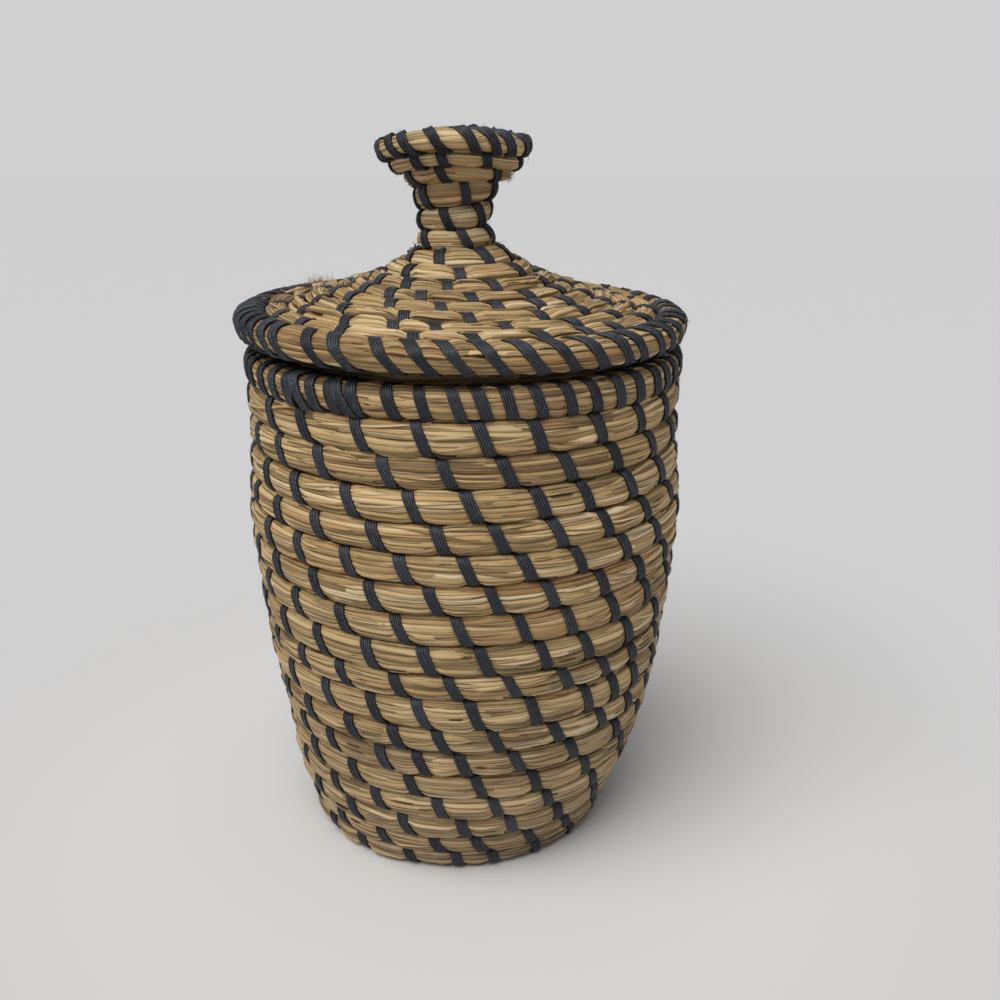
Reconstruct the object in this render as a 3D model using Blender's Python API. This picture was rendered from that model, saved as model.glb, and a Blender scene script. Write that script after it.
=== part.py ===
"""Coiled grass basket with a lift-off lid and a flared knob, stitched in flat dark thread.

Metres, +Z up. The origin is the middle of the base, on the surface that the basket stands on, and
the front faces -Y. The basket is one long bundle of grass, coiled from the middle of the base up to
the rim, and the lid is a second one, coiled from the knob's rim down the neck and out over the dome.
Each coil grows clockwise, seen from above. Its rows lie level round the front and climb to the next
row at the back, and a finished edge ends in a tail that thins out on the row before it. The columns
of linked stitches swirl down the wall and the lid, one ribbon of thread for each column.
"""

import bisect
import bmesh
import bpy
import math
from mathutils import Vector
from mathutils.kdtree import KDTree

# The basket, measured over the grass
base_radius = 0.0461
belly_radius = 0.0670
belly_height = 0.109
waist_radius = 0.0654
waist_height = 0.133
mouth_radius = 0.0660
mouth_height = 0.1574
wall_bundle_depth = 0.0092
base_bundle_depth = 0.0078
base_corner_radius = 0.009
basket_rows = 23
lower_wall_rows = 6
middle_wall_rows = 6

# The lid, measured over the grass
lid_overhang = 0.0012
lid_radius = mouth_radius + lid_overhang
lid_rim_bundle = 0.0096
dome_rise = 0.0140
dome_bundle_depth = 0.0064
foot_radius = 0.0125
foot_height = 0.1847
neck_radius = 0.0106
neck_height = 0.1925
neck_bundle_depth = 0.0059
knob_radius = 0.0224
knob_top = 0.2188
knob_rim_bundle = 0.0082
knob_lip_slant = 0.0010
neck_rows = 5
crown_rows = 4
dome_rows = 4

# The ring under the lid that keeps it centred in the mouth
ring_bundle_height = 0.0098
ring_bundle_depth = 0.0088
ring_play = 0.0008
ring_corners = 8

# The thread
thread_width = 0.0033
thread_thickness = 0.0008
wall_columns = 24
lid_columns = 16

# Clearances between separate pieces
row_gap = 0.0007
splice_gap = 0.0003
seat_gap = 0.0003
thread_gap = 0.00035

# How finely the curves are drawn, where a turn is one loop
stations_per_loop = 20
narrow_station_step = 2
side_turn = 1 / stations_per_loop
tail_step_turn = side_turn / 8
outline_step = 0.0008
core_radius = 0.0004
crease_degrees = 35

# Shapes, as shares of the sizes above
lower_wall_shares = ((0.13, 0.245), (0.25, 0.455), (0.37, 0.603), (0.55, 0.780), (0.725, 0.890),
                     (0.87, 0.965))
flare_shares = ((0.20, 0.02), (0.42, 0.12), (0.62, 0.33), (0.80, 0.62))
dome_curve_power = 1.45
dome_radius_shares = (0.12, 0.24, 0.36, 0.48, 0.60, 0.72, 0.84)
slope_step_share = 0.001
dome_row_growth_share = 0.22
wall_row_growth_share = 0.07
shoulder_share = 0.5
climb_share = 0.40
thin_tail_share = 0.30
tail_depth_share = 0.5
tail_lift_share = 3.0
own_stretch_share = 0.3
back_share = 0.5
wall_swirl_share = 0.0165
dome_swirl_share = 0.030
neck_swirl_share = 0.085

# Corners of a bundle's section, in the order that Coil.section gives them
section_corners = ("near outer", "outer crest", "far outer", "far inner", "inner crest", "near inner")

grass_colour = (0.514, 0.328, 0.144, 1.0)
thread_colour = (0.038, 0.045, 0.060, 1.0)


def clear_scene():
    for thing in list(bpy.data.objects):
        bpy.data.objects.remove(thing, do_unlink=True)


def material(name, colour, roughness):
    made = bpy.data.materials.new(name)
    made.use_nodes = True
    shader = made.node_tree.nodes["Principled BSDF"]
    shader.inputs["Base Color"].default_value = colour
    shader.inputs["Roughness"].default_value = roughness
    shader.inputs["Metallic"].default_value = 0.0
    return made


def smooth_share(value):
    value = min(1.0, max(0.0, value))
    return value * value * (3.0 - 2.0 * value)


def through_points(points):
    """A smooth curve through points of (radius, height), as closely spaced points."""
    padded = [2 * points[0] - points[1], *points, 2 * points[-1] - points[-2]]
    curve = []
    for before, start, end, after in zip(padded, padded[1:], padded[2:], padded[3:]):
        count = max(2, math.ceil((end - start).length / outline_step))
        for index in range(count):
            t = index / count
            curve.append(0.5 * (2 * start + (end - before) * t
                                + (2 * before - 5 * start + 4 * end - after) * t * t
                                + (3 * start - before - 3 * end + after) * t ** 3))
    curve.append(points[-1])
    return curve


def rounded_corner(before, corner, after, radius):
    """Points along the arc that rounds a corner."""
    into = (corner - before).normalized()
    out = (after - corner).normalized()
    turn = into.angle(out)
    reach = radius * math.tan(turn / 2)
    start = corner - into * reach
    side = Vector((-into.y, into.x)) if into.x * out.y > into.y * out.x else Vector((into.y, -into.x))
    centre = start + side * radius
    count = max(2, math.ceil(radius * turn / outline_step))
    return [centre - side * radius * math.cos(turn * i / count)
            + into * radius * math.sin(turn * i / count) for i in range(count + 1)]


class Outline:
    """The line through the middle of a coil's rows, in radius and height, by length along it."""

    def __init__(self, points, side):
        self.points = points
        self.side = side
        self.marks = [0.0]
        for start, end in zip(points, points[1:]):
            self.marks.append(self.marks[-1] + (end - start).length)
        self.length = self.marks[-1]

    def at(self, along):
        index = min(len(self.points) - 2, max(0, bisect.bisect_right(self.marks, along) - 1))
        start, end = self.points[index], self.points[index + 1]
        share = (along - self.marks[index]) / (self.marks[index + 1] - self.marks[index])
        return start + (end - start) * share

    def outward(self, along):
        """The direction out of the basket, square to the line."""
        back = max(0.0, along - outline_step)
        ahead = min(self.length, along + outline_step)
        direction = (self.at(ahead) - self.at(back)).normalized()
        return Vector((direction.y, -direction.x)) * self.side

    def place(self, along, out):
        return self.at(along) + self.outward(along) * out

    def along_to(self, wanted):
        """Length along the line to its point nearest the one wanted."""
        return min(self.marks, key=lambda mark: (self.at(mark) - wanted).length)


class Coil:
    """Rows that lie side by side along an outline, each bounded by the one before it.

    A turn is a whole number of loops at the front and counts on clockwise, seen from above. Edges
    are the lengths along the outline between one row and the next at the front.
    """

    def __init__(self, outline, edges, depth, steady=False, flat=False):
        self.outline = outline
        self.edges = edges
        self.depth = depth
        self.rows = len(edges) - 1
        self.steady = steady
        self.flat = flat

    def edge(self, turn):
        """The far edge of the bundle at this turn, as a length along the outline."""
        if turn <= 0.0:
            return self.edges[0]
        if turn >= self.rows:
            return self.edges[-1]
        loop = int(turn)
        part = turn - loop
        climb = smooth_share((part - back_share) / climb_share + 0.5)
        if self.steady:
            level = turn / self.rows
            climb = level * climb + (1.0 - level) * part
        return self.edges[loop] + (self.edges[loop + 1] - self.edges[loop]) * climb

    def span(self, turn):
        near = self.edge(turn - 1.0)
        far = self.edge(turn)
        return near, far

    def fullness(self, turn):
        """How far the bundle is from its thin tail, 0 to 1."""
        near, far = self.span(turn)
        loop = min(self.rows - 1, max(0, int(turn - back_share)))
        return min(1.0, (far - near) / (self.edges[loop + 1] - self.edges[loop]))

    def middle(self, turn):
        near, far = self.span(turn)
        return (near + far) / 2

    def half_depth(self, turn):
        tail = tail_depth_share + (1.0 - tail_depth_share) * self.fullness(turn)
        return self.depth(self.middle(turn)) / 2 * tail

    def section(self, turn):
        """The corners of the bundle, as lengths along the outline and out of it."""
        near, far = self.span(turn)
        near = max(near + row_gap / 2, core_radius)
        far -= row_gap / 2
        middle = (near + far) / 2
        half = (far - near) / 2
        deep = self.half_depth(turn)
        if self.flat:
            out = self.depth(middle) / 2 - deep
            reach = half * shoulder_share
            return [(middle - reach, out + deep), (middle + reach, out + deep), (far, out),
                    (middle + reach, out - deep), (middle - reach, out - deep), (near, out)]
        shoulder = deep * shoulder_share
        return [(near, shoulder), (middle, deep), (far, shoulder),
                (far, -shoulder), (middle, -deep), (near, -shoulder)]

    def ring(self, turn):
        return [turned(self.outline.place(along, out), turn) for along, out in self.section(turn)]

    def over(self, turn, corner, lift):
        """A place on thread that lies over one corner of the bundle, and the way out of it there."""
        along, out = self.section(turn)[section_corners.index(corner)]
        if self.flat:
            along = self.middle(turn)
        way = Vector((along - self.middle(turn), out)).normalized()
        seat = turned(self.outline.place(along, out), turn)
        lifted = turned(self.outline.place(along + way.x * lift, out + way.y * lift), turn)
        return lifted, (lifted - seat).normalized()


def turned(point, turn):
    """A point of (radius, height) carried round to this turn of the coil."""
    angle = -math.pi / 2 - math.tau * turn
    return Vector((point.x * math.cos(angle), point.x * math.sin(angle), point.y))


def climbs(coil, turn):
    """Whether a coil with level rows is on its way from one row to the next."""
    return not coil.steady and abs(turn % 1.0 - back_share) < climb_share / 2


def coil_rings(coil, first, last, spliced_first, spliced_last, narrow):
    """Rings of corners from one turn to another, on turns that neighbouring rows share.

    Between the two turns in narrow, the loops are narrow enough for fewer of them.
    """
    rings = []
    for mark in range(math.floor(first * stations_per_loop) + 1, math.ceil(last * stations_per_loop)):
        turn = mark / stations_per_loop
        wide = turn < narrow[0] or turn > narrow[1]
        if wide or climbs(coil, turn) or mark % narrow_station_step == 0:
            rings.append(coil.ring(turn))
    start = splice(coil, first, 1) if spliced_first else coil.ring(first)
    end = splice(coil, last, -1) if spliced_last else coil.ring(last)
    return [start, *rings, end]


def splice(coil, turn, way):
    """The ring where two lengths of a coil meet, halfway along a straight side, less half the gap."""
    before = coil.ring(turn - side_turn / 2)
    after = coil.ring(turn + side_turn / 2)
    ahead = (after[0] - before[0]).normalized() * way * splice_gap / 2
    return [near.lerp(far, 0.5) + ahead for near, far in zip(before, after)]


def print_least_gap(name, rings):
    """Least distance from the tube to its own next loops, measured on points along its edges."""
    points = []
    for index, (ring, following) in enumerate(zip(rings, rings[1:])):
        for corner, ahead in zip(ring, following):
            for share in (0.0, 0.25, 0.5, 0.75):
                points.append((corner.lerp(ahead, share), index + share))
        for corner, beside in zip(ring, ring[1:] + ring[:1]):
            points.append(((corner + beside) / 2, index))
    tree = KDTree(len(points))
    for index, (point, _) in enumerate(points):
        tree.insert(point, index)
    tree.balance()
    near_stations = stations_per_loop * own_stretch_share
    least = None
    for point, station in points:
        for _, other, distance in tree.find_range(point, 4 * row_gap):
            if abs(points[other][1] - station) > near_stations:
                least = distance if least is None else min(least, distance)
    shown = "none within reach" if least is None else f"{least * 1000:.2f} mm"
    print(f"{name}: least gap to itself {shown}")


def tube(name, rings, finish, closed=False):
    """A solid through rings of corners, with flat ends or closed on itself, shaded smooth.

    The last side of a bundle faces its third one across the gap between rows, so both are split
    into triangles along the same slant.
    """
    work = bmesh.new()
    loops = [[work.verts.new(corner) for corner in ring] for ring in rings]
    for ring, following in zip(loops, loops[1:] + loops[:1] if closed else loops[1:]):
        for index in range(len(ring)):
            after = (index + 1) % len(ring)
            side = [ring[index], ring[after], following[after], following[index]]
            if after == 0:
                side = side[1:] + side[:1]
            work.faces.new(side[:3])
            work.faces.new((side[0], side[2], side[3]))
    if not closed:
        work.faces.new(reversed(loops[0]))
        work.faces.new(loops[-1])
    if work.calc_volume(signed=True) < 0.0:
        bmesh.ops.reverse_faces(work, faces=work.faces)
    mesh = bpy.data.meshes.new(name)
    work.to_mesh(mesh)
    work.free()
    mesh.shade_smooth()
    mesh.set_sharp_from_angle(angle=math.radians(crease_degrees))
    mesh.materials.append(finish)
    made = bpy.data.objects.new(name, mesh)
    bpy.context.scene.collection.objects.link(made)
    return made


def add_coil(name, finish, coil, first, last, spliced_first, spliced_last, narrow=(0.0, 0.0)):
    rings = coil_rings(coil, first, last, spliced_first, spliced_last, narrow)
    print_least_gap(name, rings)
    return tube(name, rings, finish)


def ribbon(name, places, finish):
    """A flat band of thread, level from side to side, through places of (point, way out)."""
    rings = []
    for point, out in places:
        side = Vector((-point.y, point.x, 0.0)).normalized() * thread_width / 2
        lift = out * thread_thickness / 2
        rings.append([point - side - lift, point + side - lift, point + side + lift, point - side + lift])
    return tube(name, rings, finish)


def basket_outline():
    """Middle of the rows from the centre of the base out along the floor and up to the mouth."""
    foot_level = base_bundle_depth / 2
    crests = [Vector((base_radius + (belly_radius - base_radius) * wide, belly_height * high))
              for high, wide in lower_wall_shares]
    crests.append(Vector((belly_radius, belly_height)))
    crests.append(Vector((waist_radius, waist_height)))
    crests.append(Vector((mouth_radius, mouth_height)))
    wall = []
    for index, crest in enumerate(crests):
        slope = (crests[min(index + 1, len(crests) - 1)] - crests[max(index - 1, 0)]).normalized()
        wall.append(crest - Vector((slope.y, -slope.x)) * wall_bundle_depth / 2)
    rise = (wall[1] - wall[0]).normalized()
    corner = wall[0] - rise * (wall[0].y - foot_level) / rise.y
    centre = Vector((0.0, foot_level))
    bend = rounded_corner(centre, corner, wall[0], base_corner_radius)
    return Outline([centre, *bend[:-1], *through_points([bend[-1], *wall])], side=1)


def growing_edges(start, end, rows, growth_share):
    """Edges of rows that widen evenly from the first to the last, by this share about the mean."""
    edges = [start]
    for row in range(rows):
        width = 1.0 + growth_share * (2.0 * row / (rows - 1) - 1.0)
        edges.append(edges[-1] + (end - start) / rows * width)
    return edges


def basket_coil(outline, depth, flat=False):
    """Rows from the centre of the base up to the mouth; flat ones are what the basket stands on."""
    edges = growing_edges(0.0, outline.length, basket_rows, wall_row_growth_share)
    return Coil(outline, edges, lambda along: depth, steady=True, flat=flat)


def lid_seat_height():
    """Height of the lid rim's lowest crest: on the thread that wraps the basket's rim."""
    return mouth_height + 2 * thread_gap + thread_thickness


def dome_crest(share):
    """A point on the dome, from the foot of the neck at 0 to the rim's crown at 1."""
    crown = lid_radius - lid_rim_bundle / 2
    radius = foot_radius + (crown - foot_radius) * share
    height = lid_seat_height() + lid_rim_bundle + dome_rise * (1.0 - share) ** dome_curve_power
    return Vector((radius, height))


def lid_outline():
    """Middle of the rows from the knob's rim down the neck and out over the dome to the rim."""
    lip = knob_radius - knob_rim_bundle / 2
    throat = neck_radius - neck_bundle_depth / 2
    under_lip = Vector((lip - knob_lip_slant, knob_top - knob_rim_bundle))
    points = [Vector((lip, knob_top)), Vector((lip, knob_top - knob_rim_bundle / 2)), under_lip]
    for high, wide in reversed(flare_shares):
        points.append(Vector((throat + (under_lip.x - throat) * wide,
                              neck_height + (under_lip.y - neck_height) * high)))
    points.append(Vector((throat, neck_height)))
    foot = Vector((foot_radius - neck_bundle_depth / 2, foot_height))
    points.append(foot)
    rim = Vector((lid_radius - lid_rim_bundle / 2, lid_seat_height() + lid_rim_bundle / 2))
    for share in dome_radius_shares:
        crest = dome_crest(share)
        slope = (dome_crest(share + slope_step_share) - dome_crest(share - slope_step_share)).normalized()
        points.append(crest - Vector((-slope.y, slope.x)) * dome_bundle_depth / 2)
    points.append(rim)
    points.append(rim + (rim - points[-2]).normalized() * lid_rim_bundle / 2)
    return Outline(through_points(points), side=-1), foot


def lid_coil(outline, foot):
    """Rows of the knob's rim, the neck, the dome, whose bundle thickens outward, and the rim.

    The dome's inner rows are its crown.
    """
    neck_end = outline.along_to(foot)
    dome_end = outline.length - lid_rim_bundle
    neck_edges = growing_edges(knob_rim_bundle, neck_end, neck_rows, 0.0)
    dome_edges = growing_edges(neck_end, dome_end, crown_rows + dome_rows, dome_row_growth_share)
    edges = [0.0, *neck_edges, *dome_edges[1:], outline.length]

    def depth(along):
        if along < neck_end:
            share = smooth_share((along - knob_rim_bundle / 2) / knob_rim_bundle)
            return knob_rim_bundle + (neck_bundle_depth - knob_rim_bundle) * share
        grown = dome_bundle_depth * (1.0 - dome_row_growth_share / 2)
        thick = grown + (dome_bundle_depth - grown) * (along - neck_end) / (dome_end - neck_end) * 2
        share = smooth_share((along - dome_end) / (lid_rim_bundle / 2) + 1.0)
        return thick + (lid_rim_bundle - thick) * share

    return Coil(outline, edges, depth)


def tail_turn(coil, turn, step):
    """The turn, from a full part of the coil towards its end, where its tail has thinned out."""
    while coil.fullness(turn) > thin_tail_share:
        turn += step
    return turn


def build_basket(grass):
    outline = basket_outline()
    wall = basket_coil(outline, wall_bundle_depth)
    base = basket_coil(outline, base_bundle_depth, flat=True)
    base_start = tail_turn(base, 1.0, -tail_step_turn)
    base_end = back_share + side_turn / 2
    while outline.at(base.middle(base_end)).y < base_bundle_depth:
        base_end += 1
    lower_end = base_end + lower_wall_rows
    middle_end = lower_end + middle_wall_rows
    wall_end = basket_rows - back_share + side_turn / 2
    tail_end = tail_turn(wall, basket_rows, tail_step_turn)
    add_coil("base_coil", grass, base, base_start, base_end, False, True,
             narrow=(base_start, math.floor(base_end / 2)))
    add_coil("wall_lower_coil", grass, wall, base_end, lower_end, True, True)
    add_coil("wall_middle_coil", grass, wall, lower_end, middle_end, True, True)
    add_coil("wall_upper_coil", grass, wall, middle_end, wall_end, True, True)
    add_coil("rim_coil", grass, wall, wall_end, tail_end, True, False)
    return base, wall, base_end, tail_end


def build_lid(grass):
    outline, foot = lid_outline()
    coil = lid_coil(outline, foot)
    tail_start = tail_turn(coil, 1.0, -tail_step_turn)
    knob_end = 1 + back_share + side_turn / 2
    neck_end = knob_end + neck_rows
    crown_end = neck_end + crown_rows
    dome_end = crown_end + dome_rows
    tail_end = tail_turn(coil, coil.rows, tail_step_turn)
    add_coil("knob_rim_coil", grass, coil, tail_start, knob_end, False, True)
    add_coil("knob_neck_coil", grass, coil, knob_end, neck_end, True, True,
             narrow=(knob_end + 1, neck_rows + 1))
    add_coil("lid_crown_coil", grass, coil, neck_end, crown_end, True, True)
    add_coil("lid_dome_coil", grass, coil, crown_end, dome_end, True, True)
    add_coil("lid_rim_coil", grass, coil, dome_end, tail_end, True, False)
    return coil, tail_start, tail_end


def build_ring(grass, lid):
    """The plain ring that drops into the mouth, with flats towards it and towards the dome's last row."""
    mouth = mouth_radius - wall_bundle_depth - thread_gap - thread_thickness
    last_row = 1 + neck_rows + crown_rows + dome_rows
    under = lid.outline.place(lid.middle(last_row), -lid.half_depth(last_row))
    centre = Vector((mouth - ring_play - ring_bundle_depth / 2,
                     under.y - seat_gap - ring_bundle_height / 2))
    corner_reach = 0.5 / math.cos(math.pi / ring_corners)
    section = []
    for corner in range(ring_corners):
        angle = math.tau * (corner + 0.5) / ring_corners
        section.append(centre + Vector((math.cos(angle) * ring_bundle_depth * corner_reach,
                                        -math.sin(angle) * ring_bundle_height * corner_reach)))
    rings = [[turned(point, mark * side_turn) for point in section] for mark in range(stations_per_loop)]
    tube("lid_locating_ring", rings, grass, closed=True)


def thread_lift(coil, turn):
    """How far the middle of the thread lies off the grass, more where the bundle's tail slants."""
    slack = tail_lift_share + (1.0 - tail_lift_share) * coil.fullness(turn)
    return thread_gap * slack + thread_thickness / 2


def wrapped(coil, turn, corners):
    """Places on thread that goes round the bundle by these of its corners."""
    return [coil.over(turn, corner, thread_lift(coil, turn)) for corner in corners]


def over_valley(coil, turn, following):
    """A place on thread between its stitches on two rows, halfway round from one to the other."""
    along = (coil.middle(turn) + coil.middle(following)) / 2
    out = (coil.half_depth(turn) + coil.half_depth(following)) / 2
    lift = thread_lift(coil, turn)
    way_round = (turn + following - 1) / 2
    seat = turned(coil.outline.place(along, out), way_round)
    lifted = turned(coil.outline.place(along, out + lift), way_round)
    return lifted, (lifted - seat).normalized()


def stitch_wall(thread, base, wall, base_end, tail_end):
    """Columns of linked stitches from the foot of the wall, up and over the top of the rim.

    Where the end of the rim's tail lies over a column's last stitch, the thread goes over that too.
    """
    spare = thread_width / (math.tau * mouth_radius)
    for column in range(wall_columns):
        places = []
        loop = 0
        turn = column / wall_columns
        while turn < tail_end - spare:
            rows = base if turn < base_end else wall
            over = wrapped(rows, turn, ("outer crest",))
            if over[0][0].z > wall_bundle_depth / 2:
                places += over
                top = turn
            loop += 1
            turn = (loop + column / wall_columns) / (1.0 - wall_swirl_share)
        if top + 1 < tail_end + spare:
            top += 1
            places += wrapped(wall, top, ("outer crest",))
        places += wrapped(wall, top, ("far outer", "far inner"))
        ribbon(f"wall_stitch_column_{column + 1:02d}", places, thread)


def stitch_lid(thread, coil, tail_start, tail_end):
    """Columns of linked stitches from the top of the knob's rim down over the lid's rim.

    Every other column starts on the dome, where there is room for it.
    """
    spare = thread_width / (math.tau * knob_radius)
    dome_start = neck_rows + 1 + crown_rows / 2
    for column in range(lid_columns):
        whole = column % 2 == 0
        turn = tail_start + spare + (1.0 - neck_swirl_share) * column / lid_columns
        places = wrapped(coil, turn, ("near inner", "near outer", "outer crest")) if whole else []
        while turn + 1 - dome_swirl_share < tail_end - spare:
            on_neck = turn < neck_rows + 1
            following = turn + 1 - (neck_swirl_share if on_neck else dome_swirl_share)
            if whole and on_neck:
                places.append(over_valley(coil, turn, following))
            if whole or following > dome_start:
                places += wrapped(coil, following, ("outer crest",))
            turn = following
        places += wrapped(coil, turn, ("far outer", "far inner"))
        ribbon(f"lid_stitch_column_{column + 1:02d}", places, thread)


def main():
    clear_scene()
    grass = material("grass", grass_colour, 0.6)
    thread = material("thread", thread_colour, 0.45)
    base, wall, base_end, wall_tail = build_basket(grass)
    lid, lid_start, lid_tail = build_lid(grass)
    build_ring(grass, lid)
    stitch_wall(thread, base, wall, base_end, wall_tail)
    stitch_lid(thread, lid, lid_start, lid_tail)


main()
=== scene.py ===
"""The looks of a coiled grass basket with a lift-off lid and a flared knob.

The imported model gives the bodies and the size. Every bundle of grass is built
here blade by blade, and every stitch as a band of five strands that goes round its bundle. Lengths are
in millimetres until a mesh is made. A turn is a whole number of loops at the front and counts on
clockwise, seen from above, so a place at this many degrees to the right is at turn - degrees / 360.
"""
import math
import bpy
import numpy as np
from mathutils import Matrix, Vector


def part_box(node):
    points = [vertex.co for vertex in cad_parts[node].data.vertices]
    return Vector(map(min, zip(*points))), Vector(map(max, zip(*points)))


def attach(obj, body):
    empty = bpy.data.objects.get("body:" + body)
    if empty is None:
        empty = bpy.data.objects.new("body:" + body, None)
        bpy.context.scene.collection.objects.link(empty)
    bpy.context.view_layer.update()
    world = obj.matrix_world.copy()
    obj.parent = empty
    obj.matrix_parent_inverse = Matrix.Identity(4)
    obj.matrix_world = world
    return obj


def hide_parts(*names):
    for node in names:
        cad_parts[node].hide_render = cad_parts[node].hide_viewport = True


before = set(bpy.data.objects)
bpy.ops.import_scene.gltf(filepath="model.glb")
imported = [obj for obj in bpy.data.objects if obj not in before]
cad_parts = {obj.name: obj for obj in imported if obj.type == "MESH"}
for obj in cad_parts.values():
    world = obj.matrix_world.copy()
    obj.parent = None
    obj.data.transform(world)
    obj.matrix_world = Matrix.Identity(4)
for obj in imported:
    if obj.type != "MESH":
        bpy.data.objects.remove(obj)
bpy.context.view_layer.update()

MM = 0.001

# The camera, from the ruler's marks and the outline in the photograph
camera_place = (11.0, -345.5, 222.4)
camera_tilt_degrees = 71.26
camera_focal_share = 1.133
sensor_width = 36.0

# The stage: the floor is painted lighter within about 0.1 m of the basket's middle and a little darker
# beyond about 0.19 m, which shows behind the basket: a painted pool of light. The suns are given by how
# far to the left of the front and how high they stand, their softness in degrees and their strength
floor_reach = 4.0
painted_floor_light_fade = (0.10, 0.19)
floor_near_colour = (0.665, 0.663, 0.660, 1.0)
floor_far_colour = (0.612, 0.611, 0.616, 1.0)
background_colour = (0.632, 0.630, 0.637, 1.0)
surround_colour = (0.97, 0.98, 1.0, 1.0)
surround_strength = 0.31
suns = (("key_sun", 36.0, 60.0, 48.0, 2.35), ("top_sun", 20.0, 82.0, 60.0, 0.32))

# The basket's wall: heights where its rows seem to meet, from the floor up, and how far out each row's
# crest is. A row's underside hides the true meeting, which is lower, at the floor and at the rim by:
meeting_below = (0.85, 0.95)
wall_row_heights = (0.0, 7.9, 15.6, 23.9, 31.9, 40.6, 49.1, 57.5, 67.9, 75.8, 85.6, 95.0, 103.9, 112.6,
                    120.8, 130.2, 139.4, 149.1, 156.7)
wall_crest_radii = (47.9, 51.0, 54.1, 56.6, 58.5, 60.2, 61.9, 63.4, 64.4, 65.5, 66.4, 67.2, 67.6, 67.1,
                    66.3, 65.9, 66.0, 66.3)
wall_half_depth = 4.35
base_rows = 5
base_level = 5.1
base_half_depth = 3.5
base_edge_radius = 40.4
base_edge_middle = (40.0, 4.6)
first_wall_middle = (44.2, 4.4)
first_wall_half_depth = 4.3
pressed_flat_below = 1.5

# The foot sits a little to the left of the mouth
foot_shift = -2.8
foot_shift_below = 46.0
foot_shift_fade = 40.0

# The lid: the line through the middles of its rows, the places where rows meet, and their half depths
lid_middles = ((18.3, 217.5), (18.3, 214.1), (16.4, 210.7), (13.2, 207.5), (10.7, 204.2), (8.9, 200.5),
               (8.0, 196.5), (7.7, 192.3), (8.2, 188.1), (9.5, 184.6), (12.6, 180.9), (18.6, 177.1),
               (24.2, 174.2), (30.2, 171.8), (36.4, 169.9), (42.4, 168.2), (48.6, 166.4), (54.7, 165.0),
               (63.0, 163.65), (67.5, 162.85))
lid_row_meets = ((18.3, 217.5), (17.6, 212.1), (15.0, 209.1), (11.0, 204.5), (8.3, 197.4), (7.7, 190.4),
                 (9.7, 184.3), (15.4, 179.0), (21.4, 175.6), (27.2, 173.0), (33.3, 170.8), (39.4, 169.1),
                 (45.5, 167.3), (51.6, 165.7), (58.6, 164.4), (67.5, 162.85))
lid_half_depths = (4.0, 3.0, 2.8, 2.8, 2.8, 2.8, 3.0, 3.1, 3.1, 3.2, 3.2, 3.2, 3.2, 3.2, 3.8)

# How the lid sits: higher at the left, its knob a little to the left and saddle-shaped
lid_raise = 0.6
lid_left_slope = 0.014
lid_shift = (-0.6, 0.0)
knob_shift = -1.9
knob_shift_from = 180.0
saddle_rise = 1.3
saddle_from = 198.0

# Bundles
section_power = 2.9
round_section_power = 2.3
row_gap = 0.2
pinch_reach = 2.7
open_gap = 15.0
pinch_narrows = 0.30
lid_bulge = 0.30
lid_pinch = 0.45
lid_smooth_rows = 6.0
lid_tones = ((6.0, 7.5, 14.0, 14.4), (0.14, 0.0, 0.0, -0.15))
pressed_share = 0.88
smooth_share = 0.45
# Tone shifts by row from the bottom: the foot's rows are darker, painted shade for their shaded undersides, and the
# rim's row a little darker
wall_tones_and_foot_shade = ((5.6, 6.5, 8.5, 22.3, 22.6), (-0.20, -0.16, 0.0, 0.0, -0.10))
climb_share = 0.40
back_share = 0.5
tail_depth_share = 0.5
thin_tail_share = 0.28
row_wander = 0.32
row_wander_length = 46.0
wall_lanes = 16
lid_lanes = 12
ring_overlap_turn = 1.08
blade_step = 1.8
hidden_blade_step = 4.4
blade_lengths = (26.0, 88.0)
blade_overlap = 4.0
lane_wander_share = 0.36
lane_wander_length = 24.0
skirt_depth = 0.75
crown_heights = (0.12, 0.42)
blade_lifts = (-0.12, 0.26)
blade_tilt = 0.16
loose_blade_share = 0.50
loose_blade_widths = (0.6, 1.9)
loose_blade_lifts = (0.42, 0.72)
core_depth = 0.95
core_step = 4.0
core_sides = 14

# Thread
wall_thread_width = 3.35
lid_thread_width = 3.3
lid_rim_thread_width = 3.5
knob_thread_width = 3.0
strands = 5
strand_height = 0.60
strand_groove = 0.32
band_edge_height = 0.12
band_sink = 0.62
band_lift = 0.42
band_valley_drop = 0.50
crossing_lift = 0.55
band_outer_stations = 20
band_inner_stations = 8
base_stitch_spacing = 14.0

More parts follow.
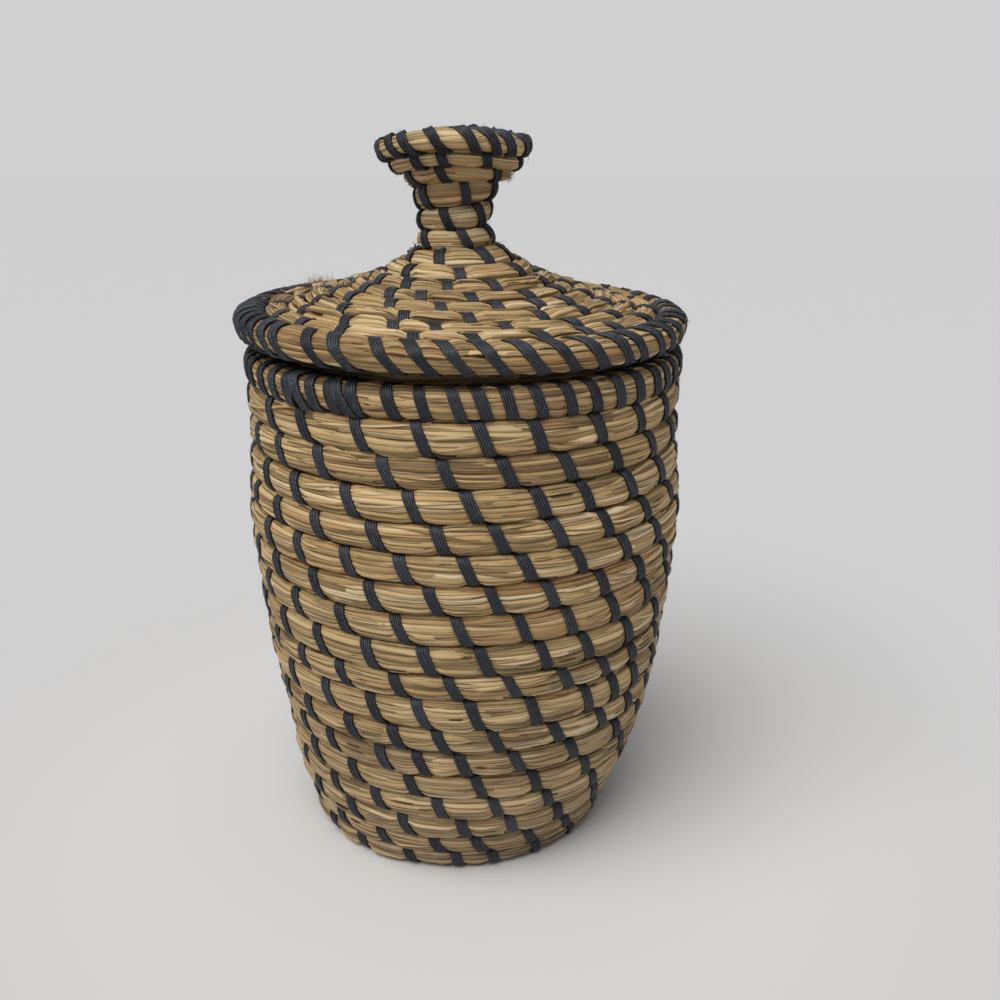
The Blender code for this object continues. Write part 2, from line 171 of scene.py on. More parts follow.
# Degrees to the right of the front for the stitches that show, by row. The basket's rows count from
# the rim down, the lid's from the knob's rim down.
wall_front_stitches = {
    2: (-40.5, -23.6, -8.6, 5.8, 18.9, 35.1, 49.5),
    3: (-51.1, -35.5, -17.4, -3.0, 11.4, 26.4, 40.8, 55.8),
    4: (-44.3, -27.4, -11.1, 2.6, 18.9, 31.4, 45.8),
    5: (-52.4, -36.8, -20.5, -4.9, 8.9, 23.3, 37.0, 52.0),
    6: (-43.6, -28.0, -13.6, 1.4, 15.1, 28.9, 43.3, 57.6),
    7: (-38.6, -21.8, -6.8, 7.6, 21.4, 36.4, 50.1),
    8: (-47.4, -31.1, -15.5, -0.5, 14.5, 27.0, 40.8, 55.1),
    9: (-55.5, -39.9, -24.3, -9.3, 5.1, 20.1, 32.6, 47.6),
    10: (-48.6, -33.6, -17.4, -3.0, 12.0, 27.0, 39.5, 51.4),
    11: (-56.8, -39.9, -24.9, -11.8, 2.6, 18.3, 34.5, 44.5, 54.5),
    12: (-50.5, -33.6, -19.3, -6.8, 8.3, 25.8, 41.4, 54.5),
    13: (-43.0, -24.3, -13.0, -1.1, 14.5, 32.0, 50.8),
    14: (-53.6, -35.5, -16.1, 3.9, 20.8, 39.5, 58.3),
    15: (-44.9, -27.4, -7.4, 10.1, 27.6, 47.0),
    16: (-38.6, -18.6, 0.8, 17.0, 34.5, 53.3),
    17: (-28.0, -8.0, 7.0, 25.8, 42.0),
    18: (-18.0, -0.5, 13.3, 30.8)}
wall_stitch_degrees = 15.0
low_wall_stitch_degrees = 18.95
low_wall_from_row = 14
front_seen_from_above = (0.3, 2.1)
outline_draw = 0.85
rim_stitches = 52
rim_front_stitches = (-85.0, -78.5, -72.0, -65.6, -57.4, -51.0, -44.7, -35.8, -30.0, -24.1, -15.1, -7.7, -0.1, 5.7, 12.0,
                      19.0, 26.4, 33.4, 41.4, 48.4, 56.2, 62.4)
rim_crossings = ((-43.1, -3.0), (-39.9, 8.5), (-26.9, 8.5))
lid_front_stitches = {
    1: (-75.0, -49.0, -34.0, -10.0, 14.0, 31.0, 47.5, 71.0),
    2: (-32.0, -7.0, 33.0),
    3: (-55.0, -10.0, 56.0),
    4: (-45.0, 19.0, 72.0),
    5: (-78.0, -11.0, 49.0),
    6: (-55.0, 15.0, 75.0),
    7: (-22.5, 32.5),
    8: (-47.0, 0.0, 57.0),
    9: (-35.0, -7.0, 22.0, 67.0),
    10: (-60.0, -38.0, -19.5, 6.0, 37.5, 65.0),
    11: (-56.0, -30.0, -7.5, 16.5, 36.0, 53.0),
    12: (-69.0, -47.5, -19.5, 4.0, 30.5, 51.0),
    13: (-62.0, -37.5, -20.0, -6.5, 15.5, 39.0, 61.0),
    14: (-49.0, -32.5, -11.0, 5.0, 23.5, 37.5, 49.0, 69.0),
    15: (-87.0, -81.5, -76.0, -70.5, -64.5, -59.0, -53.0, -47.5, -40.0, -36.0, -28.0, -21.0, -17.0, -9.0, -1.0, 7.5, 16.0, 24.0, 32.0, 40.0, 45.6, 54.0,
         60.6, 67.5)}
lid_stitch_degrees = (20.0, 50.0, 52.0, 52.0, 55.0, 55.0, 47.0, 45.0, 30.0, 25.0, 24.0, 24.0, 22.5, 17.8,
                      8.2)

# How far each stitch leans over its row, in millimetres
wall_lean = 5.6
rim_lean = 4.6
lid_leans = (8.0, 2.4, 3.0, 1.8, 2.8, 2.2, 1.4, 2.0, 2.2, 2.8, 3.0, 3.2, 3.6, 4.2, 11.5)

# The share of the way round a bundle where its stitches turn back: at the next row, but under the
# lid's rim
turn_back_share = 0.5
lid_rim_turn_back_share = 0.68

# Loose ends: single ones on each coil, and the tufts in the photograph, by row (for the lid) and degrees
# to the right, share of the way round the bundle, number, spread, length, rise, widths, tones and tints
wall_stray_ends = 150
lid_stray_ends = 170
wall_frays = ((33.0, 0.06, 9, 2.4, 5.0, 1.6, (0.3, 0.8), (0.1, 0.5), (0.0, 0.15)),
              (-22.0, 0.34, 6, 1.2, 4.0, 0.8, (0.3, 0.8), (0.0, 0.3), (0.2, 0.7)),
              (52.0, 0.10, 5, 1.8, 4.0, 1.2, (0.3, 0.8), (0.2, 0.6), (0.0, 0.5)),
              (6.0, 0.47, 5, 4.0, 9.0, 1.2, (0.5, 1.1), (0.6, 0.9), (0.0, 0.5)))
lid_frays = ((15, -127.0, 0.16, 130, 3.0, 3.2, 4.6, (0.20, 0.42), (0.75, 1.0), (0.3, 0.7)),
             (14, -140.0, 0.30, 12, 2.2, 3.5, 2.6, (0.6, 1.3), (0.6, 0.95), (0.2, 0.7)),
             (15, -116.0, 0.16, 60, 4.0, 3.0, 1.8, (0.10, 0.22), (0.6, 1.0), (0.2, 0.7)),
             (7, -93.0, 0.15, 7, 0.7, 2.2, 3.6, (0.8, 1.7), (0.05, 0.25), (0.2, 0.7)),
             (7, 57.0, 0.10, 15, 1.2, 2.2, 5.0, (0.7, 1.7), (0.2, 0.6), (0.0, 0.3)),
             (9, 52.0, 0.30, 4, 0.6, 5.0, 3.4, (0.4, 0.9), (0.6, 0.9), (0.2, 0.7)),
             (5, 80.0, 0.10, 6, 1.2, 3.0, 1.8, (0.3, 0.8), (0.3, 0.8), (0.2, 0.7)),
             (3, 82.0, 0.20, 60, 1.6, 2.4, 2.6, (0.2, 0.5), (0.8, 1.0), (0.3, 0.7)),
             (2, -80.0, 0.34, 24, 1.6, 2.4, 1.9, (0.3, 0.8), (0.7, 1.0), (0.3, 0.7)),
             (1, 160.0, 0.05, 2, 0.5, 5.0, 4.5, (0.08, 0.14), (0.0, 0.1), (0.2, 0.7)),
             (13, 120.0, 0.25, 14, 4.0, 4.0, 1.8, (0.4, 1.1), (0.5, 0.9), (0.2, 0.7)))

# Dark splits, laid as near-black sheets of painted shade over the grass: how far they stand off, how long
# and wide the small ones are and how many there are, and those in the photograph by row (for the lid),
# degrees to the right, share, length and width
crack_lift = 0.72
crack_lengths = (2.5, 9.0)
crack_widths = (0.3, 0.85)
wall_cracks = 150
lid_cracks = 55
rim_known_cracks = ((-20.5, 0.24, 6.5, 1.5), (-18.6, 0.19, 4.0, 0.9), (-22.4, 0.30, 4.5, 0.8), (36.0, 0.40, 7.0, 0.8),
                    (1.5, 0.42, 8.0, 0.8), (-48.0, 0.18, 4.0, 1.2))
lid_known_cracks = ((15, 6.2, 0.40, 9.0, 0.9), (13, 12.5, 0.30, 3.6, 1.4), (13, -50.0, 0.32, 5.0, 1.1),
                    (15, 22.0, 0.36, 7.0, 0.7), (9, 35.0, 0.30, 4.0, 0.8), (6, -30.0, 0.35, 4.0, 0.7))

# Short hairs that stand up from the thread: how many to a stitch, how long and how thick
hairs_to_a_stitch = 9
hair_lengths = (0.8, 2.6)
hair_width = 0.11

rng = np.random.default_rng(41)
lattice = rng.uniform(-1.0, 1.0, 4096)


def wander(x, row):
    """Smooth noise between -1 and 1 that turns over about once per unit of x, unlike for each row."""
    whole = np.floor(x).astype(int)
    part = x - whole
    part = part * part * (3.0 - 2.0 * part)
    low = lattice[(whole + 977 * row) % len(lattice)]
    high = lattice[(whole + 1 + 977 * row) % len(lattice)]
    return low + (high - low) * part


def smooth(value):
    value = np.clip(value, 0.0, 1.0)
    return value * value * (3.0 - 2.0 * value)


class Outline:
    """The line through the middles of a coil's rows, in radius and height, by length along it."""

    def __init__(self, points, side):
        points = np.array(points, float)
        knots = np.concatenate([[0.0], np.cumsum(np.hypot(*np.diff(points, axis=0).T))])
        fine = np.linspace(0.0, knots[-1], 900)
        padded = np.vstack([2 * points[0] - points[1], points, 2 * points[-1] - points[-2]])
        index = np.clip(np.searchsorted(knots, fine, side="right") - 1, 0, len(points) - 2)
        t = ((fine - knots[index]) / (knots[index + 1] - knots[index]))[:, None]
        before, start, end, after = (padded[index + k] for k in range(4))
        curve = 0.5 * (2 * start + (end - before) * t + (2 * before - 5 * start + 4 * end - after) * t ** 2
                       + (3 * start - before - 3 * end + after) * t ** 3)
        first, last = curve[1] - curve[0], curve[-1] - curve[-2]
        spare = 6.0
        curve = np.vstack([curve[0] - first / np.hypot(*first) * spare, curve,
                           curve[-1] + last / np.hypot(*last) * spare])
        self.marks = np.concatenate([[0.0], np.cumsum(np.hypot(*np.diff(curve, axis=0).T))]) - spare
        self.length = self.marks[-2]
        self.curve = curve
        tangent = np.gradient(curve, axis=0)
        tangent /= np.hypot(*tangent.T)[:, None]
        self.normal = np.stack([tangent[:, 1], -tangent[:, 0]], 1) * side

    def place(self, along, out):
        radius = np.interp(along, self.marks, self.curve[:, 0])
        height = np.interp(along, self.marks, self.curve[:, 1])
        radius = radius + np.interp(along, self.marks, self.normal[:, 0]) * out
        height = height + np.interp(along, self.marks, self.normal[:, 1]) * out
        return np.maximum(radius, 0.3), height

    def nearest(self, point):
        """Length along the line to its point nearest the one given."""
        inside = slice(1, -1)
        away = np.hypot(*(self.curve[inside] - np.array(point)).T)
        return float(self.marks[inside][np.argmin(away)])


class Section:
    """The rounded square that a bundle is squeezed to, by the share of the way round it.

    The share is 0 at the row before, a quarter on the outside and a half at the row after.
    """

    def __init__(self, power):
        angle = np.linspace(0.0, math.tau, 1441)
        c, s = np.cos(angle), np.sin(angle)
        self.x = -np.sign(c) * np.abs(c) ** (2 / power)
        self.y = np.sign(s) * np.abs(s) ** (2 / power)
        way = np.concatenate([[0.0], np.cumsum(np.hypot(np.diff(self.x), np.diff(self.y)))])
        self.share = way / way[-1]
        self.round = way[-1]
        self.out_x = -np.sign(c) * np.abs(c) ** (2 - 2 / power)
        self.out_y = np.sign(s) * np.abs(s) ** (2 - 2 / power)

    def at(self, share):
        share = share % 1.0
        x, y, out_x, out_y = (np.interp(share, self.share, table)
                              for table in (self.x, self.y, self.out_x, self.out_y))
        size = np.hypot(out_x, out_y)
        return x, y, out_x / size, out_y / size


class Coil:
    """Rows of a bundle that lie side by side along an outline, each bounded by the one before it."""

    bulge = 0.12
    pinch = 0.42
    smooth_rows = 0.0
    tones = ((0.0,), (0.0,))

    def __init__(self, outline, edges, half_depths, level_rows, section, lean_way, settle,
                 last_turn_back=turn_back_share):
        self.outline = outline
        self.edges = np.array(edges, float)
        self.half_depths = np.array([half_depths[0], *half_depths], float)
        self.rows = len(edges) - 1
        self.level_rows = level_rows
        self.section = section
        self.lean_way = lean_way
        self.settle = settle
        way, out = outline.curve[2] - outline.curve[1], outline.normal[1]
        self.inside_out = bool(way[0] * out[1] > way[1] * out[0])
        self.turns = np.linspace(0.0, self.rows + 1.0, (self.rows + 1) * 360 + 1)
        self.tight = np.zeros(len(self.turns))
        self.leans = np.zeros(len(self.turns))
        self.draw = np.zeros(len(self.turns))
        self.turn_back = np.interp(self.turns, (self.rows - 1.1, self.rows - 0.9),
                                   (turn_back_share, last_turn_back))
        near, far = self.edge(self.turns - 1.0), self.edge(self.turns)
        radius, _ = outline.place((near + far) / 2, 0.0)
        step = math.tau * (radius[1:] + radius[:-1]) / 2 * np.diff(self.turns)
        self.lengths = np.concatenate([[0.0], np.cumsum(step)])

    def level(self, turn):
        """Which rows lie level round the front, 1, and which climb evenly, 0."""
        return np.interp(turn, self.level_rows, (0.0, 1.0))

    def part_rows(self, turn):
        turn = np.clip(turn, 0.0, self.rows)
        loop = np.minimum(turn.astype(int), self.rows - 1)
        part = turn - loop
        climb = smooth((part - back_share) / climb_share + 0.5)
        level = self.level(turn)
        return loop + level * climb + (1.0 - level) * part

    def edge(self, turn):
        """The far edge of the bundle at this turn, as a length along the outline."""
        turn = np.asarray(turn, float)
        rows = self.part_rows(turn)
        inside = np.clip(np.minimum(rows, self.rows - rows) / 0.5, 0.0, 1.0)
        radius, _ = self.outline.place(np.interp(rows, np.arange(self.rows + 1), self.edges), 0.0)
        waves = wander(np.clip(turn, 0.0, self.rows) * math.tau * radius / row_wander_length, 3)
        return np.interp(rows, np.arange(self.rows + 1), self.edges) + waves * inside * row_wander

    def span(self, turn):
        return self.edge(turn - 1.0), self.edge(turn)

    def turn_at(self, length):
        return np.interp(length, self.lengths, self.turns)

    def length_at(self, turn):
        return np.interp(turn, self.turns, self.lengths)

    def stitched(self, stitches):
        """Draws the bundle in at each stitch and lets it bulge between them."""
        stitches = sorted(stitches)
        self.leans = np.interp(self.turns, [turn for turn, _, _ in stitches],
                               [lean for _, lean, _ in stitches])
        places = self.length_at(np.array([turn for turn, _, _ in stitches]))
        gaps = np.diff(places) / open_gap
        gaps = np.minimum(np.append(gaps, gaps[-1]), np.append(gaps[0], gaps))
        self.draw = np.interp(self.lengths, places, np.clip(gaps, 0.2, 1.0) ** 1.5)
        for turn, lean, width in stitches:
            away = (self.lengths - self.length_at(turn)) / (pinch_reach * width / wall_thread_width)
            self.tight = np.maximum(self.tight, np.exp(-away ** 4))

    def sweep(self, turn, share):
        """How far a stitch has leant here, from -1 where it comes out to 1 where it turns back."""
        back = np.interp(turn, self.turns, self.turn_back)
        share = share % 1.0
        return np.where(share < back, 2 * share / back - 1, 1 - 2 * (share - back) / (1 - back))

    def place(self, turn, share, lift, pressed=0.0):
        """Points on the bundle, this far off its smooth surface, or pressed to it by its stitches."""
        near, far = self.span(turn)
        full = np.interp(turn, (self.rows - 0.4, self.rows), (0.0, 1.0))
        whole = np.where(turn < 1.0, self.edges[1] - self.edges[0], self.edges[-1] - self.edges[-2])
        fullness = np.where((turn < 1.0) | (full > 0.0), np.clip((far - near) / whole, 0.0, 1.0), 1.0)
        x, y, out_x, out_y = self.section.at(share)
        radius, _ = self.outline.place((near + far) / 2, 0.0)
        leaning = np.interp(turn, self.turns, self.leans) / 2 * self.sweep(turn, share)
        tight = np.interp(turn - self.lean_way * leaning / (math.tau * radius), self.turns, self.tight)
        draw = np.interp(turn, self.turns, self.draw)
        lift = np.where(lift > 0.0, lift * (1.0 - pressed * tight), lift)
        deep = np.interp(self.part_rows(turn), np.arange(self.rows + 1), self.half_depths)
        deep = deep * (tail_depth_share + (1.0 - tail_depth_share) * fullness)
        deep = deep + draw * (self.bulge * (1.0 - tight) * fullness - self.pinch * tight)
        half = np.maximum((far - near - row_gap) / 2 - pinch_narrows * tight * draw, 0.4)
        out = deep * y + out_y * lift
        radius, height = self.outline.place((near + far) / 2 + half * x + out_x * lift, out)
        angle = -math.pi / 2 - math.tau * turn
        points = np.stack([radius * np.cos(angle), radius * np.sin(angle), height + 0.0 * angle], -1)
        return self.settle(points)


class Ring(Coil):
    """A single closed loop of a bundle."""

    def __init__(self, middle, half_width, half_depth, section, settle):
        line = Outline(((middle[0], middle[1] - half_width), middle, (middle[0], middle[1] + half_width)), 1)
        self.line_length = 2 * half_width
        super().__init__(line, (0.0, self.line_length), (half_depth,), (0.0, 0.1), section, 1, settle)

    def span(self, turn):
        zero = 0.0 * np.asarray(turn, float)
        return zero, zero + self.line_length


class Strips:
    """Strips of quads that become one mesh.

    Each strip is an array of points, stations by columns, with its lengths along and across in
    millimetres, and its look: tone, tint, age (on the thread, wear and the strength of its painted
    highlight) and edge, from 0 to 1. The edge darkens the colour: partly the darker colour of split
    edges, partly painted shade between blades and between strands. A strip can close on itself
    across (wrap) and along (loop).
    """

    def __init__(self):
        self.parts = []

    def add(self, points, along, across, look, wrap=False, loop=False, flip=False):
        shift = rng.uniform(0.0, 400.0, 2)
        self.parts.append((points, np.asarray(along), np.asarray(across), look, wrap, loop, flip, shift))

    def packed(self):
        """Places in a square for all the strips, in columns of strips of like width."""
        margin = 0.35
        sizes = np.array([(np.ptp(part[2]) + margin, np.ptp(part[1]) + margin) for part in self.parts])
        side = max(math.sqrt((sizes[:, 0] * sizes[:, 1]).sum()) * 1.01, sizes[:, 1].max())
        order = np.argsort(-sizes[:, 0], kind="stable")
        while True:
            places = np.zeros_like(sizes)
            x = y = column = 0.0
            for k in order:
                width, length = sizes[k]
                if y + length > side:
                    x, y, column = x + column, 0.0, 0.0
                column = max(column, width)
                places[k] = x, y
                y += length
            if x + column <= side:
                return places + margin / 2, side
            side *= 1.03

    def build(self, name, finish, body, slot, nodes):
        """Makes the mesh, rides it on its body and lets it stand for these nodes."""
        places, side = self.packed()
        verts, quads, grain, bake, looks = [], [], [], [], []
        base = 0
        for (points, along, across, look, wrap, loop, flip, shift), place in zip(self.parts, places):
            n, m = points.shape[:2]
            i = np.arange(n if loop else n - 1)[:, None, None] + np.array([0, 0, 1, 1])
            j = np.arange(m if wrap else m - 1)[None, :, None] + np.array([0, 1, 1, 0])
            if flip:
                i, j = i[..., ::-1], j[..., ::-1]
            i, j = np.broadcast_arrays(i, j)
            if wrap:
                rim = (points - points.reshape(-1, 3).mean(0))[i % n, j % m]
                a, b, c, d = (rim[..., k, :].reshape(-1, 3) for k in range(4))
                if (a * np.cross(b, c) + a * np.cross(c, d)).sum() < 0.0:
                    i, j = i[..., ::-1], j[..., ::-1]
            verts.append(points.reshape(-1, 3))
            quads.append((base + (i % n) * m + j % m).reshape(-1, 4))
            u, v = along[i].reshape(-1), across[j].reshape(-1)
            grain.append(np.stack([u + shift[0], v + shift[1]], 1))
            bake.append(np.stack([v - across.min() + place[0], u - along.min() + place[1]], 1) / side)
            looks.append(np.broadcast_to(look, (n, m, 4)).reshape(-1, 4))
            base += n * m
        verts, quads = pressed_flat(np.concatenate(verts)), np.concatenate(quads)
        grain, bake, looks = np.concatenate(grain), np.concatenate(bake), np.concatenate(looks)
        mesh = bpy.data.meshes.new(name)
        mesh.vertices.add(len(verts))
        mesh.vertices.foreach_set("co", (verts * MM).astype(np.float32).reshape(-1))
        mesh.loops.add(quads.size)
        mesh.loops.foreach_set("vertex_index", quads.astype(np.int32).reshape(-1))
        mesh.polygons.add(len(quads))
        mesh.polygons.foreach_set("loop_start", np.arange(0, quads.size, 4, dtype=np.int32))
        mesh.update(calc_edges=True)
        mesh.shade_smooth()
        for layer, values in (("OFBake", bake), ("Grain", grain)):
            mesh.uv_layers.new(name=layer).uv.foreach_set("vector", values.astype(np.float32).reshape(-1))
        colours = mesh.attributes.new("look", "FLOAT_COLOR", "POINT")
        colours.data.foreach_set("color", looks.astype(np.float32).reshape(-1))
        mesh.materials.append(finish)
        made = bpy.data.objects.new(name, mesh)
        bpy.context.scene.collection.objects.link(made)
        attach(made, body)
        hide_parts(*nodes)
        return made


def blade_look(age):
    """Tone, tint, age and edge of one blade: most are mid straw, some pale and a few brown."""
    kind = rng.uniform()
    if kind < 0.035:
        tone = rng.uniform(0.20, 0.34)
    elif kind < 0.22:
        tone = rng.uniform(0.70, 0.95)
    else:
        tone = rng.normal(0.53, 0.085)
    return np.array([np.clip(tone, 0.0, 1.0), rng.uniform(), age, 0.0])


def row_age(coil, turn):
    """The basket's lower rows are greyer than its upper ones and the lid."""
    height = coil.place(np.array([turn]), np.array([0.25]), 0.0)[0, 2]
    return float(np.clip(1.0 - height / 110.0, 0.0, 1.0))


def lay_blade(strips, coil, start, end, left, right, lift, step, pointed, painted_shade=False):
    """One blade along the bundle, from side to side between two functions of its length along."""
    count = max(4, math.ceil((end - start) / step))
    length = np.linspace(start, end, count + 1)
    turn = coil.turn_at(length)
    from_end = np.minimum(length - start, end - length)
    tip = smooth(from_end / (7.0 if pointed else 4.5))
    ridge = rng.uniform(0.32, 0.68)
    shares = np.array([0.0, 0.12, ridge, 0.88, 1.0])
    low, high = left(length), right(length)
    middle, half = (low + high) / 2, (high - low) / 2
    narrow = (0.15 + 0.85 * tip) if pointed else (0.55 + 0.45 * tip)
    across = middle[:, None] + (half * narrow)[:, None] * (2 * shares - 1)[None, :]
    crown = rng.uniform(*crown_heights) * np.array([0.0, 0.45, 1.0, 0.45, 0.0])
    tilt = rng.normal(0.0, blade_tilt) * (2 * shares - 1)
    skirt = -skirt_depth * np.array([1.0, 0.0, 0.0, 0.0, 1.0])
    ripple = 0.13 * wander(length / 8.0, rng.integers(999)) + 0.10 * wander(length / 21.0, rng.integers(999))
    rough = np.interp(turn, (coil.smooth_rows, coil.smooth_rows + 1.0), (smooth_share, 1.0))[:, None]
    rise = (lift + ripple)[:, None] * rough - (1.0 - tip)[:, None] * (0.35 if pointed else 0.95)
    lifts = rise + (crown + tilt)[None, :] * rough + skirt
    points = coil.place(turn[:, None] + 0.0 * across, across, lifts, pressed_share)
    width = float(np.mean(half)) * 2 * coil.section.round * coil.half_depths.mean()
    look = np.tile(blade_look(row_age(coil, turn[count // 2])), (len(shares), 1))
    look[:, 0] += np.interp(turn[count // 2], *coil.tones)
    # The edge channel darkens the blade's sides: partly the darker colour of split edges, partly painted shade in the
    # gaps between blades
    look[:, 3] = (1.0, 0.08, 0.0, 0.08, 1.0)
    # Such a blade is near-black all over: a sheet of painted shade for a split
    if painted_shade:
        look[:, 0], look[:, 3] = 0.0, 1.0
    strips.add(points, length, shares * width, look[None], flip=coil.inside_out)


def grass(coil, first, last, lanes, cuts):
    """All the blades of a coil, sorted into pieces by where along it they are."""
    pieces = [Strips() for _ in range(len(cuts) - 1)]
    begin, finish = coil.length_at(first), coil.length_at(last)

    def piece(length):
        turn = coil.turn_at(length)
        return pieces[int(np.clip(np.searchsorted(cuts, turn) - 1, 0, len(pieces) - 1))]

    def bound(lane):
        row = lane % lanes
        return lambda length: (lane + lane_wander_share * wander(length / lane_wander_length, 20 + row)) / lanes

    overlap = 0.16 / (coil.section.round * coil.half_depths.mean())
    for lane in range(lanes):
        hidden = 0.56 < (lane + 0.5) / lanes < 0.94
        low, high = bound(lane), bound(lane + 1)
        start = begin - rng.uniform(0.0, 30.0)
        while start < finish:
            end = start + rng.uniform(*blade_lengths)
            from_length, to_length = max(begin, start - blade_overlap), min(finish, end + blade_overlap)
            if to_length - from_length > 2 * blade_overlap:
                lay_blade(piece((from_length + to_length) / 2), coil, from_length, to_length,
                          lambda s, low=low: low(s) - overlap, lambda s, high=high: high(s) + overlap,
                          rng.uniform(*blade_lifts), hidden_blade_step if hidden else blade_step, False)
            start = end
    loose = int((finish - begin) * loose_blade_share / 6.0)
    for _ in range(loose):
        start = rng.uniform(begin, finish - 16.0)
        end = min(finish, start + rng.uniform(14.0, 60.0))
        at, slant = rng.uniform(0.045, 0.455), rng.normal(0.0, 0.035)
        half = rng.uniform(*loose_blade_widths) / 2 / (coil.section.round * coil.half_depths.mean())
        bend = rng.integers(999)

        def middle(s, at=at, slant=slant, start=start, end=end, bend=bend):
            share = (s - start) / (end - start) - 0.5
            return np.clip(at + slant * 2 * share + 0.012 * wander(s / 15.0, bend), 0.03, 0.47)

        lay_blade(piece((start + end) / 2), coil, start, end,
                  lambda s, middle=middle, half=half: middle(s) - half,
                  lambda s, middle=middle, half=half: middle(s) + half,
                  rng.uniform(*loose_blade_lifts), blade_step, True)
    add_cores(pieces, coil, first, last, cuts)
    return pieces


def shaded_split(strips, coil, turn, share, length, width):
    """A near-black sheet of painted shade along the bundle where it splits, this long and wide."""
    start = coil.length_at(turn) - length / 2
    half = width / 2 / (coil.section.round * coil.half_depths.mean())
    lay_blade(strips, coil, start, start + length, lambda s: share - half + 0.0 * s,
              lambda s: share + half + 0.0 * s, crack_lift, blade_step / 2, True, True)


def shaded_splits(pieces, coil, cuts, first, last, count, known):
    """Painted shade for the splits in the photograph, by turn, share, length and width, and small ones all over."""
    found = list(known)
    for _ in range(count):
        turn = coil.turn_at(rng.uniform(coil.length_at(first), coil.length_at(last)))
        found.append((float(turn), rng.uniform(0.08, 0.42), rng.uniform(*crack_lengths),
                      rng.uniform(*crack_widths)))
    for turn, share, length, width in found:
        shaded_split(pieces[int(np.clip(np.searchsorted(cuts, turn) - 1, 0, len(pieces) - 1))], coil, turn, share,
              length, width)


def fibre(strips, points, width, look):
    """A thin loose end that tapers along these points."""
    count = len(points)
    way = np.gradient(points, axis=0)
    way /= np.linalg.norm(way, axis=1)[:, None]
    side = np.cross(way, (0.3, 0.2, 1.0))
    side /= np.linalg.norm(side, axis=1)[:, None]
    over = np.cross(way, side)
    taper = width / 2 * (1.0 - 0.92 * np.linspace(0.0, 1.0, count) ** 1.6)[:, None]
    ring = np.stack([points + side * taper, points + over * taper * 0.35, points - side * taper,
                     points - over * taper * 0.35], 1)
    ring = np.concatenate([np.repeat(points[:1, None], 4, 1), ring, np.repeat(points[-1:, None], 4, 1)])
    along = np.linspace(0.0, 1.0, count + 2) * np.linalg.norm(np.diff(points, axis=0), axis=1).sum()
    strips.add(ring, along, np.arange(5) * width / 2, look, wrap=True)


def loose_end(strips, coil, turn, share, length, rise, veer, width, look):
    """A fibre that leaves the bundle here; a negative length runs it back along the coil."""
    part = np.linspace(0.0, 1.0, 8)
    turns = coil.turn_at(coil.length_at(turn) + length * part)
    points = coil.place(turns, share + veer * part ** 2, rise * part ** 1.4 - 0.25)
    fibre(strips, points, width, look)


def fray(strips, coil, turn, share, count, spread, length, rise, widths, tones, tints):
    """A tuft of loose ends."""
    for _ in range(count):
        at = coil.turn_at(coil.length_at(turn) + rng.normal(0.0, spread))
        look = np.array([rng.uniform(*tones), rng.uniform(*tints), 0.0, 0.15])
        loose_end(strips, coil, at, share + rng.normal(0.0, 0.02), rng.uniform(0.4, 1.0) * length
                  * rng.choice((-1.0, 1.0)), rng.uniform(0.3, 1.0) * rise, rng.normal(0.0, 0.09),
                  rng.uniform(*widths), look)


def stray_ends(pieces, coil, cuts, first, last, count):
    """Single loose ends all over a coil."""
    for _ in range(count):
        turn = coil.turn_at(rng.uniform(coil.length_at(first), coil.length_at(last)))
        strips = pieces[int(np.clip(np.searchsorted(cuts, turn) - 1, 0, len(pieces) - 1))]
        look = np.array([rng.uniform(0.2, 0.9), rng.uniform(), 0.2, 0.1])
        loose_end(strips, coil, float(turn), rng.uniform(0.03, 0.47), rng.normal(0.0, 6.0),
                  rng.uniform(0.5, 1.5), rng.normal(0.0, 0.05), rng.uniform(0.2, 0.7), look)


def add_cores(pieces, coil, first, last, cuts):
    """Tubes inside the bundles, so that nothing shows through between the blades, coloured near-black: painted shade
    for the bundles' shaded insides.
    """
    for strips, start, end in zip(pieces, cuts, cuts[1:]):
        start, end = max(start, first), min(end, last)
        from_length, to_length = coil.length_at(start) + 0.6, coil.length_at(end) - 0.6
        count = max(3, math.ceil((to_length - from_length) / core_step))
        turn = coil.turn_at(np.linspace(from_length, to_length, count + 1))
        share = np.arange(core_sides) / core_sides
        lifts = np.full((count + 1, core_sides), -core_depth)
        points = coil.place(turn[:, None] + 0.0 * lifts, share[None, :] + 0.0 * lifts, lifts)
        caps = [np.repeat(points[k].mean(0)[None], core_sides, 0) for k in (0, -1)]
        points = np.concatenate([caps[0][None], points, caps[1][None]])
        along = np.arange(count + 3) * core_step
        across = np.arange(core_sides + 1) * 2.2
        # Near-black look: painted shade
        look = np.array([0.05, 0.5, 0.5, 1.0])
        strips.add(points, along, across, look, wrap=True, flip=coil.inside_out)


